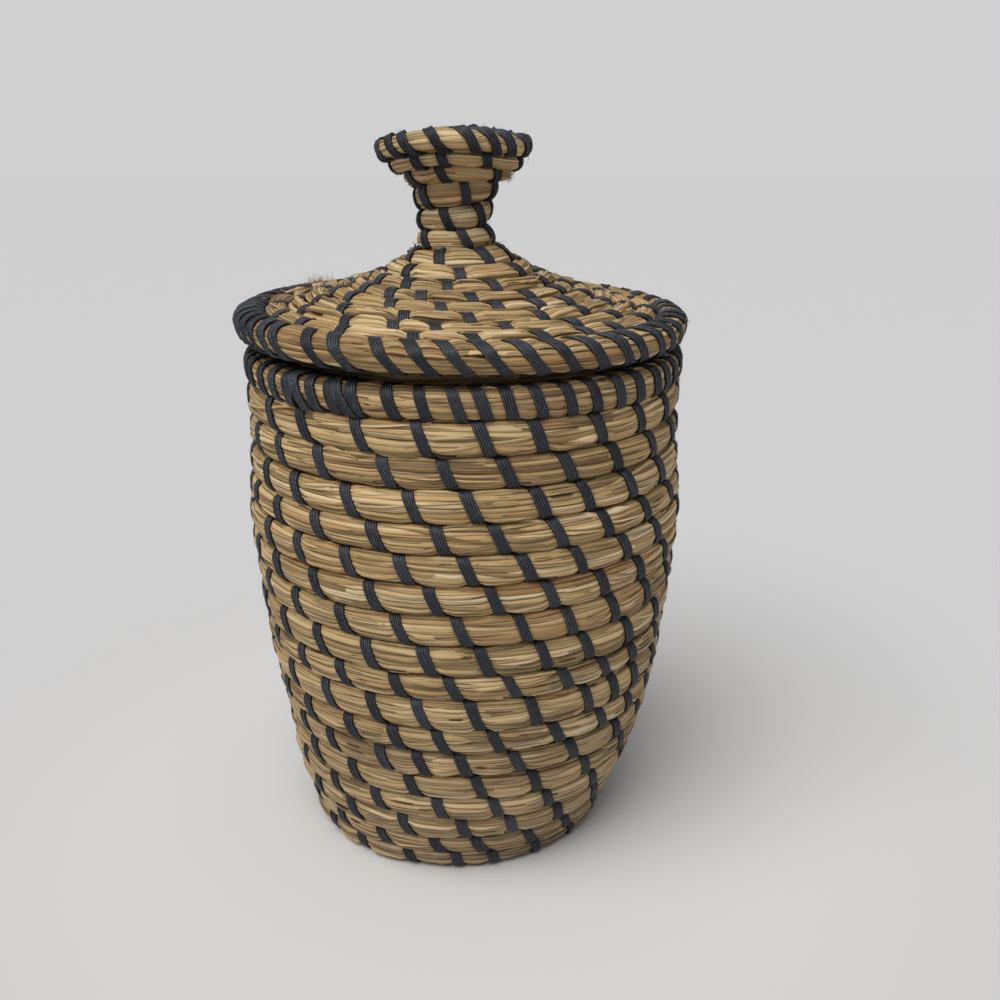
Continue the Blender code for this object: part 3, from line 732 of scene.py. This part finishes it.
def band(strips, coil, turn, lean, width, raised=0.0):
    """One stitch: a band of strands that goes all the way round the bundle."""
    outer = np.linspace(0.0, 0.5, band_outer_stations, endpoint=False)
    inner = np.linspace(0.5, 1.0, band_inner_stations, endpoint=False)
    share = np.concatenate([outer, inner])
    near, far = coil.span(np.array([turn]))
    radius, _ = coil.outline.place((near + far) / 2, 0.0)
    x, y, _, _ = coil.section.at(share)
    bow = rng.normal(0.0, 0.15)
    sweep = coil.sweep(turn, share)
    leaning = (lean / 2 * sweep + bow * (1.0 - sweep ** 2)) * coil.lean_way / (math.tau * float(radius[0]))
    turns = turn + leaning
    valley = smooth((np.abs(x) - 0.80) / 0.20)
    lifts = band_lift + raised - band_valley_drop * valley + rng.uniform(-0.05, 0.08)
    centre = coil.place(turns, share, lifts)
    above = coil.place(turns, share, lifts + 1.0)
    out = above - centre
    held = np.linalg.norm(out, axis=1)[:, None] < 1e-6
    out = np.where(held, centre - centre.mean(0), out)
    out /= np.linalg.norm(out, axis=1)[:, None]
    way = np.roll(centre, -1, axis=0) - np.roll(centre, 1, axis=0)
    way /= np.linalg.norm(way, axis=1)[:, None]
    beside = np.cross(way, out)
    beside /= np.linalg.norm(beside, axis=1)[:, None]
    out = np.cross(beside, way)
    columns = np.arange(2 * strands + 1)
    across = (columns / strands - 1.0) / 2
    lobes = np.where(columns % 2 == 1, strand_height, strand_height - strand_groove)
    lobes = lobes + rng.normal(0.0, 0.035, len(columns))
    lobes[[0, -1]] = band_edge_height
    across = np.concatenate([across, [0.40, -0.40]])
    height = np.concatenate([lobes, [-band_sink, -band_sink]])
    wide = width * (1.0 - 0.16 * valley) * (1.0 + 0.05 * wander(np.arange(len(share)) / 5.0, rng.integers(999)))
    points = (centre[:, None] + beside[:, None] * (across[None, :, None] * wide[:, None, None])
              + out[:, None] * height[None, :, None])
    step = np.linalg.norm(np.roll(centre, -1, axis=0) - centre, axis=1)
    along = np.concatenate([[0.0], np.cumsum(step)])
    round_section = np.concatenate([[0.0], np.cumsum(np.hypot(
        np.diff(np.append(across, across[0])) * width, np.diff(np.append(height, height[0]))))])
    # The third look channel is wear, which pales the scuffs, and also how strong the strands' painted highlight is
    wear_and_sheen = rng.uniform()
    look = np.tile([rng.uniform(), rng.uniform(), wear_and_sheen, 0.0], (1, len(across), 1))
    # The grooves get the edge channel, which the material paints near-black as painted shade; the crowns get the
    # painted highlight
    look[0, :, 3] = np.where(np.arange(len(across)) % 2 == 1, 0.0, 1.0)
    strips.add(points, along, round_section, look, wrap=True, loop=True)
    fuzz(strips, coil, turn, lean, width)


def fuzz(strips, coil, turn, lean, width):
    """Hairs that stand up from one stitch."""
    middle = coil.length_at(turn)
    part = np.linspace(0.0, 1.0, 5)
    for _ in range(hairs_to_a_stitch):
        share = rng.uniform(0.04, 0.48)
        across = rng.uniform(-0.5, 0.5) * width
        start = middle + (lean / 2 * float(coil.sweep(turn, share)) + across) * coil.lean_way
        length = rng.uniform(*hair_lengths)
        turns = coil.turn_at(start + rng.normal(0.0, 0.5) * length * part)
        points = coil.place(turns, share + rng.normal(0.0, 0.02) * length * part,
                            0.8 + rng.uniform(0.3, 0.9) * length * part ** 1.5)
        fibre(strips, points, hair_width, np.array([0.5, 0.5, rng.uniform(), rng.uniform(0.0, 0.6)]))


def all_round(front, spacing):
    """Degrees of a row's stitches: the front ones as photographed and the others evenly spaced."""
    gap = front[0] + 360.0 - front[-1]
    count = max(1, round(gap / spacing))
    rest = [front[-1] + gap * k / count + rng.normal(0.0, 0.05) * spacing for k in range(1, count)]
    return [*front, *rest]


def to_outline(degrees, coil, turn):
    """Draws the nearest stitch to each side of the row as the camera sees it."""
    reach = np.hypot(*coil.place(np.array([turn]), np.array([0.25]), 0.0)[0, :2])
    middle = math.degrees(math.atan2(camera_place[0], -camera_place[1]))
    tangent = math.degrees(math.acos(reach / math.hypot(*camera_place[:2])))
    for edge in (middle - tangent, middle + tangent):
        away = [(degree - edge + 180.0) % 360.0 - 180.0 for degree in degrees]
        nearest = int(np.argmin(np.abs(away)))
        degrees[nearest] -= outline_draw * away[nearest]


def row_turns(row, degrees):
    """Turns of the places at these degrees on a row."""
    return [row - (((degree + 180.0) % 360.0) - 180.0) / 360.0 for degree in degrees]


def apart(stitches, least):
    """Stitches in order, without those that come too soon after another."""
    kept = []
    for stitch in sorted(stitches):
        if not kept or stitch[0] - kept[-1][0] > least / 360.0:
            kept.append(stitch)
    return kept


def wall_meetings():
    """Heights where the wall's rows really meet, without the rim's top."""
    return [height - np.interp(height, (0.0, wall_row_heights[-1]), meeting_below)
            for height in wall_row_heights[:-1]]


def wall_outline():
    points = [(0.0, base_level), (12.0, base_level), (24.0, base_level), (33.0, base_level),
              base_edge_middle, first_wall_middle]
    meetings = [*wall_meetings(), wall_row_heights[-1]]
    middles = [(low + high) / 2 for low, high in zip(meetings, meetings[1:])]
    for crest, height in list(zip(wall_crest_radii, middles))[1:]:
        points.append((crest - 0.55 - wall_half_depth, height))
    points.append((wall_crest_radii[-1] - 0.5 - wall_half_depth, wall_row_heights[-1]))
    return Outline(points, 1)


def settle_basket(points):
    """Moves the foot over."""
    x, y, z = points[..., 0], points[..., 1], points[..., 2]
    return np.stack([x + foot_shift * smooth((foot_shift_below - z) / foot_shift_fade), y, z], -1)


def pressed_flat(points):
    """Presses what is near the floor flat on it."""
    z = points[..., 2]
    below = np.maximum(pressed_flat_below - z, 0.0) / pressed_flat_below
    z = np.where(below > 0.0, pressed_flat_below * (1.0 - np.tanh(below)), z)
    return np.concatenate([points[..., :2], z[..., None]], -1)


def settle_lid(points):
    """Sets the lid down as in the photograph."""
    x, y, z = points[..., 0], points[..., 1], points[..., 2]
    radius = np.hypot(x, y) + 1e-6
    knob = smooth((z - knob_shift_from) / 11.0)
    saddle = saddle_rise * smooth((z - saddle_from) / 13.0) * (y * y - x * x) / radius ** 2
    new_x = x + lid_shift[0] + knob_shift * knob
    new_y = y + lid_shift[1]
    new_z = z + lid_raise - lid_left_slope * x + saddle
    return np.stack([new_x, new_y, new_z], -1)


def make_grass_material():
    made = bpy.data.materials.new("dry_grass")
    made.use_nodes = True
    tree = made.node_tree
    shader = tree.nodes["Principled BSDF"]

    def node(kind, **settings):
        new = tree.nodes.new(kind)
        for key, value in settings.items():
            setattr(new, key, value)
        return new

    def link(start, end):
        tree.links.new(start, end)

    def maths(operation, a, b=None, c=None):
        new = node("ShaderNodeMath", operation=operation)
        for socket, value in zip(new.inputs, (a, b, c)):
            if value is None:
                continue
            if isinstance(value, (int, float)):
                socket.default_value = value
            else:
                link(value, socket)
        return new.outputs[0]

    def noise(vector, detail, roughness):
        new = node("ShaderNodeTexNoise")
        new.inputs["Scale"].default_value = 1.0
        new.inputs["Detail"].default_value = detail
        new.inputs["Roughness"].default_value = roughness
        link(vector, new.inputs["Vector"])
        return new.outputs["Fac"]

    def scaled(vector, x, y):
        new = node("ShaderNodeVectorMath", operation="MULTIPLY")
        link(vector, new.inputs[0])
        new.inputs[1].default_value = (x, y, 1.0)
        return new.outputs[0]

    def mixed(factor, a, b, blend="MIX"):
        new = node("ShaderNodeMix", data_type="RGBA", blend_type=blend)
        for socket, value in ((new.inputs[0], factor), (new.inputs[6], a), (new.inputs[7], b)):
            if isinstance(value, (int, float)):
                socket.default_value = value
            elif isinstance(value, tuple):
                socket.default_value = value
            else:
                link(value, socket)
        return new.outputs[2]

    grain = node("ShaderNodeUVMap", uv_map="Grain").outputs["UV"]
    look = node("ShaderNodeAttribute", attribute_name="look")
    parts = node("ShaderNodeSeparateColor")
    link(look.outputs["Color"], parts.inputs[0])
    tone, tint, age = parts.outputs[0], parts.outputs[1], parts.outputs[2]
    edge = look.outputs["Alpha"]
    fibres = noise(scaled(grain, 0.030, 2.2), 4.0, 0.60)
    fine = noise(scaled(grain, 0.10, 7.5), 3.0, 0.6)
    blotches = noise(scaled(grain, 0.055, 0.30), 3.0, 0.55)
    spots = noise(scaled(grain, 0.35, 0.9), 4.0, 0.7)
    split_grooves_and_shade = noise(scaled(grain, 0.011, 0.80), 1.0, 0.5)
    split_grooves_and_shade = maths("ABSOLUTE", maths("SUBTRACT", split_grooves_and_shade, 0.5))
    split_grooves_and_shade = maths("SUBTRACT", 1.0, maths("MINIMUM", maths("MULTIPLY", split_grooves_and_shade, 15.0), 1.0))
    threshold = maths("GREATER_THAN", noise(scaled(grain, 0.03, 0.4), 2.0, 0.5), 0.48)
    split_grooves_and_shade = maths("MULTIPLY", split_grooves_and_shade, threshold)
    level = maths("ADD", tone, maths("MULTIPLY", maths("SUBTRACT", fibres, 0.5), 0.66))
    level = maths("ADD", level, maths("MULTIPLY", maths("SUBTRACT", fine, 0.5), 0.55))
    level = maths("ADD", level, maths("MULTIPLY", maths("SUBTRACT", blotches, 0.5), 0.42))
    ramp = node("ShaderNodeValToRGB")
    stops = ((0.0, (0.070, 0.038, 0.014, 1.0)), (0.22, (0.200, 0.118, 0.045, 1.0)),
             (0.45, (0.435, 0.286, 0.118, 1.0)), (0.68, (0.645, 0.455, 0.220, 1.0)),
             (1.0, (0.820, 0.660, 0.410, 1.0)))
    while len(ramp.color_ramp.elements) < len(stops):
        ramp.color_ramp.elements.new(0.5)
    for element, (position, colour) in zip(ramp.color_ramp.elements, stops):
        element.position = position
        element.color = colour
    link(level, ramp.inputs[0])
    colour = ramp.outputs[0]
    greener = maths("MULTIPLY", maths("GREATER_THAN", tint, 0.85), 0.18)
    colour = mixed(greener, colour, (0.390, 0.330, 0.125, 1.0))
    redder = maths("MULTIPLY", maths("LESS_THAN", tint, 0.16), 0.30)
    colour = mixed(redder, colour, (0.480, 0.235, 0.085, 1.0))
    spotted = maths("MULTIPLY", maths("GREATER_THAN", spots, 0.69), 0.45)
    colour = mixed(spotted, colour, (0.260, 0.120, 0.045, 1.0))
    colour = mixed(maths("MULTIPLY", age, 0.42), colour, (0.400, 0.310, 0.190, 1.0))
    # Painted shade: thin dark lines along the blades, which the bump also sinks as grooves
    colour = mixed(maths("MULTIPLY", split_grooves_and_shade, 0.78), colour, (0.055, 0.030, 0.012, 1.0))
    # The edge channel darkens towards near-black: partly the darker colour of split blade edges, partly painted shade
    # between blades; cores and split sheets are wholly painted shade
    edge_stain_and_shade = maths("MULTIPLY", maths("POWER", edge, 1.3), 0.92)
    colour = mixed(edge_stain_and_shade, colour, (0.035, 0.020, 0.010, 1.0))
    link(colour, shader.inputs["Base Color"])
    rough = maths("ADD", 0.44, maths("MULTIPLY", fibres, 0.28))
    link(rough, shader.inputs["Roughness"])
    shader.inputs["Specular IOR Level"].default_value = 0.42
    height = maths("ADD", maths("MULTIPLY", fibres, 0.75), maths("MULTIPLY", fine, 0.4))
    height = maths("SUBTRACT", height, maths("MULTIPLY", split_grooves_and_shade, 0.8))
    bump = node("ShaderNodeBump")
    bump.inputs["Strength"].default_value = 0.75
    bump.inputs["Distance"].default_value = 0.00035
    link(height, bump.inputs["Height"])
    link(bump.outputs[0], shader.inputs["Normal"])
    return made


def make_thread_material():
    made = bpy.data.materials.new("slate_thread")
    made.use_nodes = True
    tree = made.node_tree
    shader = tree.nodes["Principled BSDF"]

    def node(kind, **settings):
        new = tree.nodes.new(kind)
        for key, value in settings.items():
            setattr(new, key, value)
        return new

    def link(start, end):
        tree.links.new(start, end)

    def maths(operation, a, b=None):
        new = node("ShaderNodeMath", operation=operation)
        for socket, value in zip(new.inputs, (a, b)):
            if value is None:
                continue
            if isinstance(value, (int, float)):
                socket.default_value = value
            else:
                link(value, socket)
        return new.outputs[0]

    def noise(vector, detail, roughness):
        new = node("ShaderNodeTexNoise")
        new.inputs["Scale"].default_value = 1.0
        new.inputs["Detail"].default_value = detail
        new.inputs["Roughness"].default_value = roughness
        link(vector, new.inputs["Vector"])
        return new.outputs["Fac"]

    def scaled(vector, x, y):
        new = node("ShaderNodeVectorMath", operation="MULTIPLY")
        link(vector, new.inputs[0])
        new.inputs[1].default_value = (x, y, 1.0)
        return new.outputs[0]

    def mixed(factor, a, b):
        new = node("ShaderNodeMix", data_type="RGBA")
        for socket, value in ((new.inputs[0], factor), (new.inputs[6], a), (new.inputs[7], b)):
            if isinstance(value, (int, float, tuple)):
                socket.default_value = value
            else:
                link(value, socket)
        return new.outputs[2]

    grain = node("ShaderNodeUVMap", uv_map="Grain").outputs["UV"]
    look = node("ShaderNodeAttribute", attribute_name="look")
    parts = node("ShaderNodeSeparateColor")
    link(look.outputs["Color"], parts.inputs[0])
    tone, tint, wear_and_sheen = parts.outputs[0], parts.outputs[1], parts.outputs[2]
    strands_noise = noise(scaled(grain, 0.07, 3.4), 4.0, 0.6)
    fine = noise(scaled(grain, 0.9, 9.0), 3.0, 0.65)
    # Scuff noise: pale worn specks, and also where the strands' painted highlight glints
    scuffs_and_glints = noise(scaled(grain, 0.55, 2.2), 5.0, 0.72)
    patches = noise(scaled(grain, 0.06, 0.15), 2.0, 0.5)
    level = maths("ADD", maths("MULTIPLY", strands_noise, 0.75), maths("MULTIPLY", fine, 0.35))
    level = maths("ADD", level, maths("MULTIPLY", tone, 0.20))
    ramp = node("ShaderNodeValToRGB")
    stops = ((0.38, (0.003, 0.004, 0.006, 1.0)), (0.58, (0.010, 0.012, 0.017, 1.0)),
             (0.78, (0.026, 0.031, 0.041, 1.0)), (0.96, (0.080, 0.093, 0.112, 1.0)))
    while len(ramp.color_ramp.elements) < len(stops):
        ramp.color_ramp.elements.new(0.5)
    for element, (position, colour) in zip(ramp.color_ramp.elements, stops):
        element.position = position
        element.color = colour
    link(level, ramp.inputs[0])
    colour = ramp.outputs[0]
    purple = maths("MULTIPLY", maths("MAXIMUM", maths("SUBTRACT", patches, 0.52), 0.0), 2.2)
    colour = mixed(purple, colour, (0.032, 0.026, 0.044, 1.0))
    green = maths("MULTIPLY", maths("MAXIMUM", maths("SUBTRACT", 0.44, patches), 0.0), 2.2)
    colour = mixed(green, colour, (0.016, 0.028, 0.028, 1.0))
    pale = maths("MULTIPLY", maths("MAXIMUM", maths("SUBTRACT", scuffs_and_glints, 0.60), 0.0), 3.0)
    pale = maths("MULTIPLY", pale, maths("ADD", 0.35, wear_and_sheen))
    pale = maths("MINIMUM", pale, 0.7)
    colour = mixed(pale, colour, (0.200, 0.215, 0.225, 1.0))
    # Painted highlight: a pale blue-grey line along each strand's crown, brighter where the scuff noise glints and on
    # stitches with more wear and sheen
    crown = maths("POWER", maths("SUBTRACT", 1.0, look.outputs["Alpha"]), 2.0)
    painted_glint = maths("MINIMUM", maths("MAXIMUM", maths("MULTIPLY", maths("SUBTRACT", scuffs_and_glints, 0.42), 3.0), 0.0), 1.0)
    painted_highlight = maths("MULTIPLY", crown, maths("ADD", 0.22, maths("MULTIPLY", painted_glint, 0.78)))
    painted_highlight = maths("MULTIPLY", painted_highlight, maths("ADD", 0.45, maths("MULTIPLY", wear_and_sheen, 0.65)))
    colour = mixed(maths("MULTIPLY", painted_highlight, 0.85), colour, (0.285, 0.318, 0.362, 1.0))
    # Painted shade: the grooves between strands are darkened towards near-black
    colour = mixed(maths("MULTIPLY", look.outputs["Alpha"], 0.88), colour, (0.003, 0.003, 0.005, 1.0))
    link(colour, shader.inputs["Base Color"])
    rough = maths("ADD", 0.34, maths("MULTIPLY", scuffs_and_glints, 0.30))
    link(rough, shader.inputs["Roughness"])
    shader.inputs["Specular IOR Level"].default_value = 0.32
    twist = node("ShaderNodeTexWave", wave_type="BANDS", bands_direction="DIAGONAL")
    twist.inputs["Scale"].default_value = 0.42
    twist.inputs["Distortion"].default_value = 0.6
    link(scaled(grain, 1.0, 1.7), twist.inputs["Vector"])
    height = maths("ADD", maths("MULTIPLY", strands_noise, 0.6), maths("MULTIPLY", twist.outputs["Fac"], 0.30))
    height = maths("ADD", height, maths("MULTIPLY", fine, 0.25))
    bump = node("ShaderNodeBump")
    bump.inputs["Strength"].default_value = 0.7
    bump.inputs["Distance"].default_value = 0.00025
    link(height, bump.inputs["Height"])
    link(bump.outputs[0], shader.inputs["Normal"])
    return made


def make_basket(grass_finish, thread_finish):
    outline = wall_outline()
    heights = np.interp(outline.marks, outline.marks, outline.curve[:, 1])
    rising = outline.curve[:, 0] > base_edge_radius
    base_end = outline.nearest((base_edge_radius, base_edge_middle[1]))
    edges = list(np.linspace(0.0, base_end, base_rows + 1))
    for height in (*wall_meetings()[1:], wall_row_heights[-1]):
        edges.append(float(np.interp(height, heights[rising], outline.marks[rising])))
    wall_rows = len(wall_row_heights) - 1
    depths = [base_half_depth] * base_rows + [first_wall_half_depth] + [wall_half_depth] * (wall_rows - 1)
    coil = Coil(outline, edges, depths, (base_rows, base_rows + wall_rows * 0.6), Section(section_power), 1,
                settle_basket)
    coil.tones = wall_tones_and_foot_shade
    rows = base_rows + wall_rows

    stitches = []
    for row in range(1, base_rows + 1):
        middle = (edges[row] + edges[row - 1]) / 2
        count = max(4, round(math.tau * middle / base_stitch_spacing))
        shift = rng.uniform(0.0, 360.0)
        stitches += [(turn, 1.5, wall_thread_width) for turn in
                     row_turns(row, [shift + 360.0 * k / count for k in range(count)])]
    for row, front in wall_front_stitches.items():
        spacing = low_wall_stitch_degrees if row >= low_wall_from_row else wall_stitch_degrees
        shift = float(np.interp(row, (2, wall_rows), front_seen_from_above))
        degrees = [degree + shift for degree in all_round(front, spacing)]
        to_outline(degrees, coil, rows + 1.0 - row)
        turns = row_turns(rows + 1 - row, degrees)
        stitches += [(turn, wall_lean + rng.normal(0.0, 0.35), wall_thread_width * rng.uniform(0.93, 1.06))
                     for turn in turns]
    stitches = apart(stitches, 7.0)
    tail_end = rows + 1.0 - 0.42
    rim_from = rows - back_share
    turns = row_turns(rows, all_round(rim_front_stitches, 360.0 / rim_stitches))
    last = max(turns)
    turns += [last + (k + 1) / rim_stitches for k in range(int((tail_end - last) * rim_stitches))]
    rim = [(turn, rim_lean + rng.normal(0.0, 0.5), wall_thread_width * rng.uniform(0.94, 1.08))
           for turn in turns]
    stitches = [stitch for stitch in stitches if stitch[0] < rim_from]
    coil.stitched(stitches + rim)
    cuts = (0.0, base_rows + 0.525, base_rows + 6.525, base_rows + 12.525, rows - 0.475, rows + 1.0)
    names = ("base_coil", "wall_lower_coil", "wall_middle_coil", "wall_upper_coil", "rim_coil")
    start = 0.35
    pieces = grass(coil, start, tail_end, wall_lanes, cuts)
    stray_ends(pieces, coil, cuts, base_rows + 1.0, tail_end - 0.5, wall_stray_ends)
    shaded_splits(pieces, coil, cuts, base_rows + 0.5, tail_end - 0.5, wall_cracks,
           [(rows - degree / 360.0, share, length, width) for degree, share, length, width in rim_known_cracks])
    for degree, *tuft in wall_frays:
        fray(pieces[-1], coil, rows - degree / 360.0, *tuft)
    for name, strips in zip(names, pieces):
        strips.build(name.replace("_coil", "_grass"), grass_finish, "basket", "grass", [name])
    columns = sorted(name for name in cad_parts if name.startswith("wall_stitch_column"))
    zones = (("wall_lower_thread", 0.0, cuts[2]), ("wall_middle_thread", cuts[2], cuts[3]),
             ("wall_upper_thread", cuts[3], rim_from))
    for name, low, high in zones:
        strips = Strips()
        for turn, lean, width in stitches:
            if low <= turn < high:
                band(strips, coil, turn, lean, width)
        strips.build(name, thread_finish, "basket", "thread", columns)
    strips = Strips()
    for turn, lean, width in rim:
        band(strips, coil, turn, lean, width)
    for degree, lean in rim_crossings:
        band(strips, coil, rows - degree / 360.0, lean, wall_thread_width * 0.9, crossing_lift)
    strips.build("rim_thread", thread_finish, "basket", "thread", columns)


def make_lid(grass_finish, thread_finish):
    outline = Outline(lid_middles, -1)
    edges = [outline.nearest(point) for point in lid_row_meets]
    coil = Coil(outline, edges, lid_half_depths, (4.0, 9.0), Section(round_section_power), -1, settle_lid,
                lid_rim_turn_back_share)
    coil.bulge, coil.pinch, coil.smooth_rows = lid_bulge, lid_pinch, lid_smooth_rows
    coil.tones = lid_tones
    rows = len(edges) - 1
    stitches = []
    for row, front in lid_front_stitches.items():
        lean = lid_leans[row - 1]
        width = knob_thread_width if row < 7 else lid_rim_thread_width if row == rows else lid_thread_width
        for turn in row_turns(row, all_round(front, lid_stitch_degrees[row - 1])):
            stitches.append((turn, lean * (1.0 + 0.1 * wander(turn * 3.0, 8)), width * rng.uniform(0.94, 1.05)))
    tail_start, tail_end = 0.42, rows + 0.58
    step = lid_stitch_degrees[-1] / 360.0
    turn = max(stitch[0] for stitch in stitches) + step
    while turn < tail_end:
        stitches.append((turn, lid_leans[-1], lid_rim_thread_width))
        turn += step
    turn = min(stitch[0] for stitch in stitches) - lid_stitch_degrees[0] / 360.0
    stitches = [stitch for stitch in apart(stitches, 4.0) if stitch[0] > tail_start]
    coil.stitched(stitches)
    cuts = (0.0, 1.525, 6.525, 10.525, 14.525, rows + 1.0)
    names = ("knob_rim_coil", "knob_neck_coil", "lid_crown_coil", "lid_dome_coil", "lid_rim_coil")
    pieces = grass(coil, tail_start, tail_end, lid_lanes, cuts)
    stray_ends(pieces, coil, cuts, tail_start + 0.3, tail_end - 0.5, lid_stray_ends)
    shaded_splits(pieces, coil, cuts, tail_start + 0.3, tail_end - 0.5, lid_cracks,
           [(row - degree / 360.0, share, length, width)
            for row, degree, share, length, width in lid_known_cracks])
    for row, degree, *tuft in lid_frays:
        turn = row - degree / 360.0
        fray(pieces[int(np.searchsorted(cuts, turn)) - 1], coil, turn, *tuft)
    for name, strips in zip(names, pieces):
        strips.build(name.replace("_coil", "_grass"), grass_finish, "lid", "grass", [name])
    columns = sorted(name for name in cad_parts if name.startswith("lid_stitch_column"))
    zones = (("knob_thread", 0.0, cuts[2]), ("lid_dome_thread", cuts[2], cuts[4]),
             ("lid_rim_thread", cuts[4], rows + 1.0))
    for name, low, high in zones:
        strips = Strips()
        for turn, lean, width in stitches:
            if low <= turn < high:
                band(strips, coil, turn, lean, width)
        strips.build(name, thread_finish, "lid", "thread", columns)


def make_ring(grass_finish):
    """The plain ring of grass under the lid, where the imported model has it."""
    low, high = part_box("lid_locating_ring")
    half_width = (high.z - low.z) / 2 / MM - 0.5
    half_depth = 4.1
    middle = (high.x / MM - 0.5 - half_depth, (high.z + low.z) / 2 / MM)
    ring = Ring(middle, half_width, half_depth, Section(round_section_power), settle_lid)
    pieces = grass(ring, 0.0, ring_overlap_turn, lid_lanes, (0.0, ring_overlap_turn))
    pieces[0].build("lid_locating_grass", grass_finish, "lid", "grass", ["lid_locating_ring"])


def make_stage():
    """A pale floor, painted lighter round the basket as a painted pool of light, soft light and the camera."""
    mesh = bpy.data.meshes.new("floor")
    mesh.from_pydata([(-floor_reach, -floor_reach, 0), (floor_reach, -floor_reach, 0),
                      (floor_reach, floor_reach, 0), (-floor_reach, floor_reach, 0)], [], [(0, 1, 2, 3)])
    floor = bpy.data.objects.new("floor", mesh)
    bpy.context.scene.collection.objects.link(floor)
    finish = bpy.data.materials.new("pale_floor")
    finish.use_nodes = True
    tree = finish.node_tree
    shader = tree.nodes["Principled BSDF"]
    shader.inputs["Roughness"].default_value = 0.8
    shader.inputs["Specular IOR Level"].default_value = 0.2
    # Painted light: the floor's colour fades from the lighter near colour to the darker far colour with distance from
    # the basket's middle
    place = tree.nodes.new("ShaderNodeNewGeometry")
    away = tree.nodes.new("ShaderNodeVectorMath")
    away.operation = "LENGTH"
    fade = tree.nodes.new("ShaderNodeMapRange")
    fade.interpolation_type = "SMOOTHSTEP"
    fade.inputs["From Min"].default_value, fade.inputs["From Max"].default_value = painted_floor_light_fade
    shade = tree.nodes.new("ShaderNodeMix")
    shade.data_type = "RGBA"
    shade.inputs[6].default_value = floor_near_colour
    shade.inputs[7].default_value = floor_far_colour
    tree.links.new(place.outputs["Position"], away.inputs[0])
    tree.links.new(away.outputs["Value"], fade.inputs["Value"])
    tree.links.new(fade.outputs[0], shade.inputs[0])
    tree.links.new(shade.outputs[2], shader.inputs["Base Color"])
    mesh.materials.append(finish)

    world = bpy.data.worlds.new("studio")
    bpy.context.scene.world = world
    world.use_nodes = True
    tree = world.node_tree
    surround = tree.nodes["Background"]
    surround.inputs["Color"].default_value = surround_colour
    surround.inputs["Strength"].default_value = surround_strength
    seen = tree.nodes.new("ShaderNodeBackground")
    seen.inputs["Color"].default_value = background_colour
    seen.inputs["Strength"].default_value = 1.0
    path = tree.nodes.new("ShaderNodeLightPath")
    mix = tree.nodes.new("ShaderNodeMixShader")
    tree.links.new(path.outputs["Is Camera Ray"], mix.inputs[0])
    tree.links.new(surround.outputs[0], mix.inputs[1])
    tree.links.new(seen.outputs[0], mix.inputs[2])
    tree.links.new(mix.outputs[0], tree.nodes["World Output"].inputs["Surface"])

    for name, left, up, softness, strength in suns:
        lamp = bpy.data.lights.new(name, "SUN")
        lamp.angle = math.radians(softness)
        lamp.energy = strength
        lamp.color = (1.0, 0.985, 0.965)
        made = bpy.data.objects.new(name, lamp)
        made.rotation_euler = (math.radians(90.0 - up), 0.0, math.radians(-left))
        bpy.context.scene.collection.objects.link(made)

    lens = bpy.data.cameras.new("camera")
    lens.sensor_width = sensor_width
    lens.lens = camera_focal_share * sensor_width
    lens.clip_start = 0.01
    camera = bpy.data.objects.new("camera", lens)
    camera.location = [value * MM for value in camera_place]
    camera.rotation_euler = (math.radians(camera_tilt_degrees), 0.0, 0.0)
    bpy.context.scene.collection.objects.link(camera)
    bpy.context.scene.camera = camera
    bpy.context.scene.view_settings.view_transform = "Standard"


def main():
    make_stage()
    grass_finish = make_grass_material()
    thread_finish = make_thread_material()
    make_basket(grass_finish, thread_finish)
    make_lid(grass_finish, thread_finish)
    make_ring(grass_finish)


main()
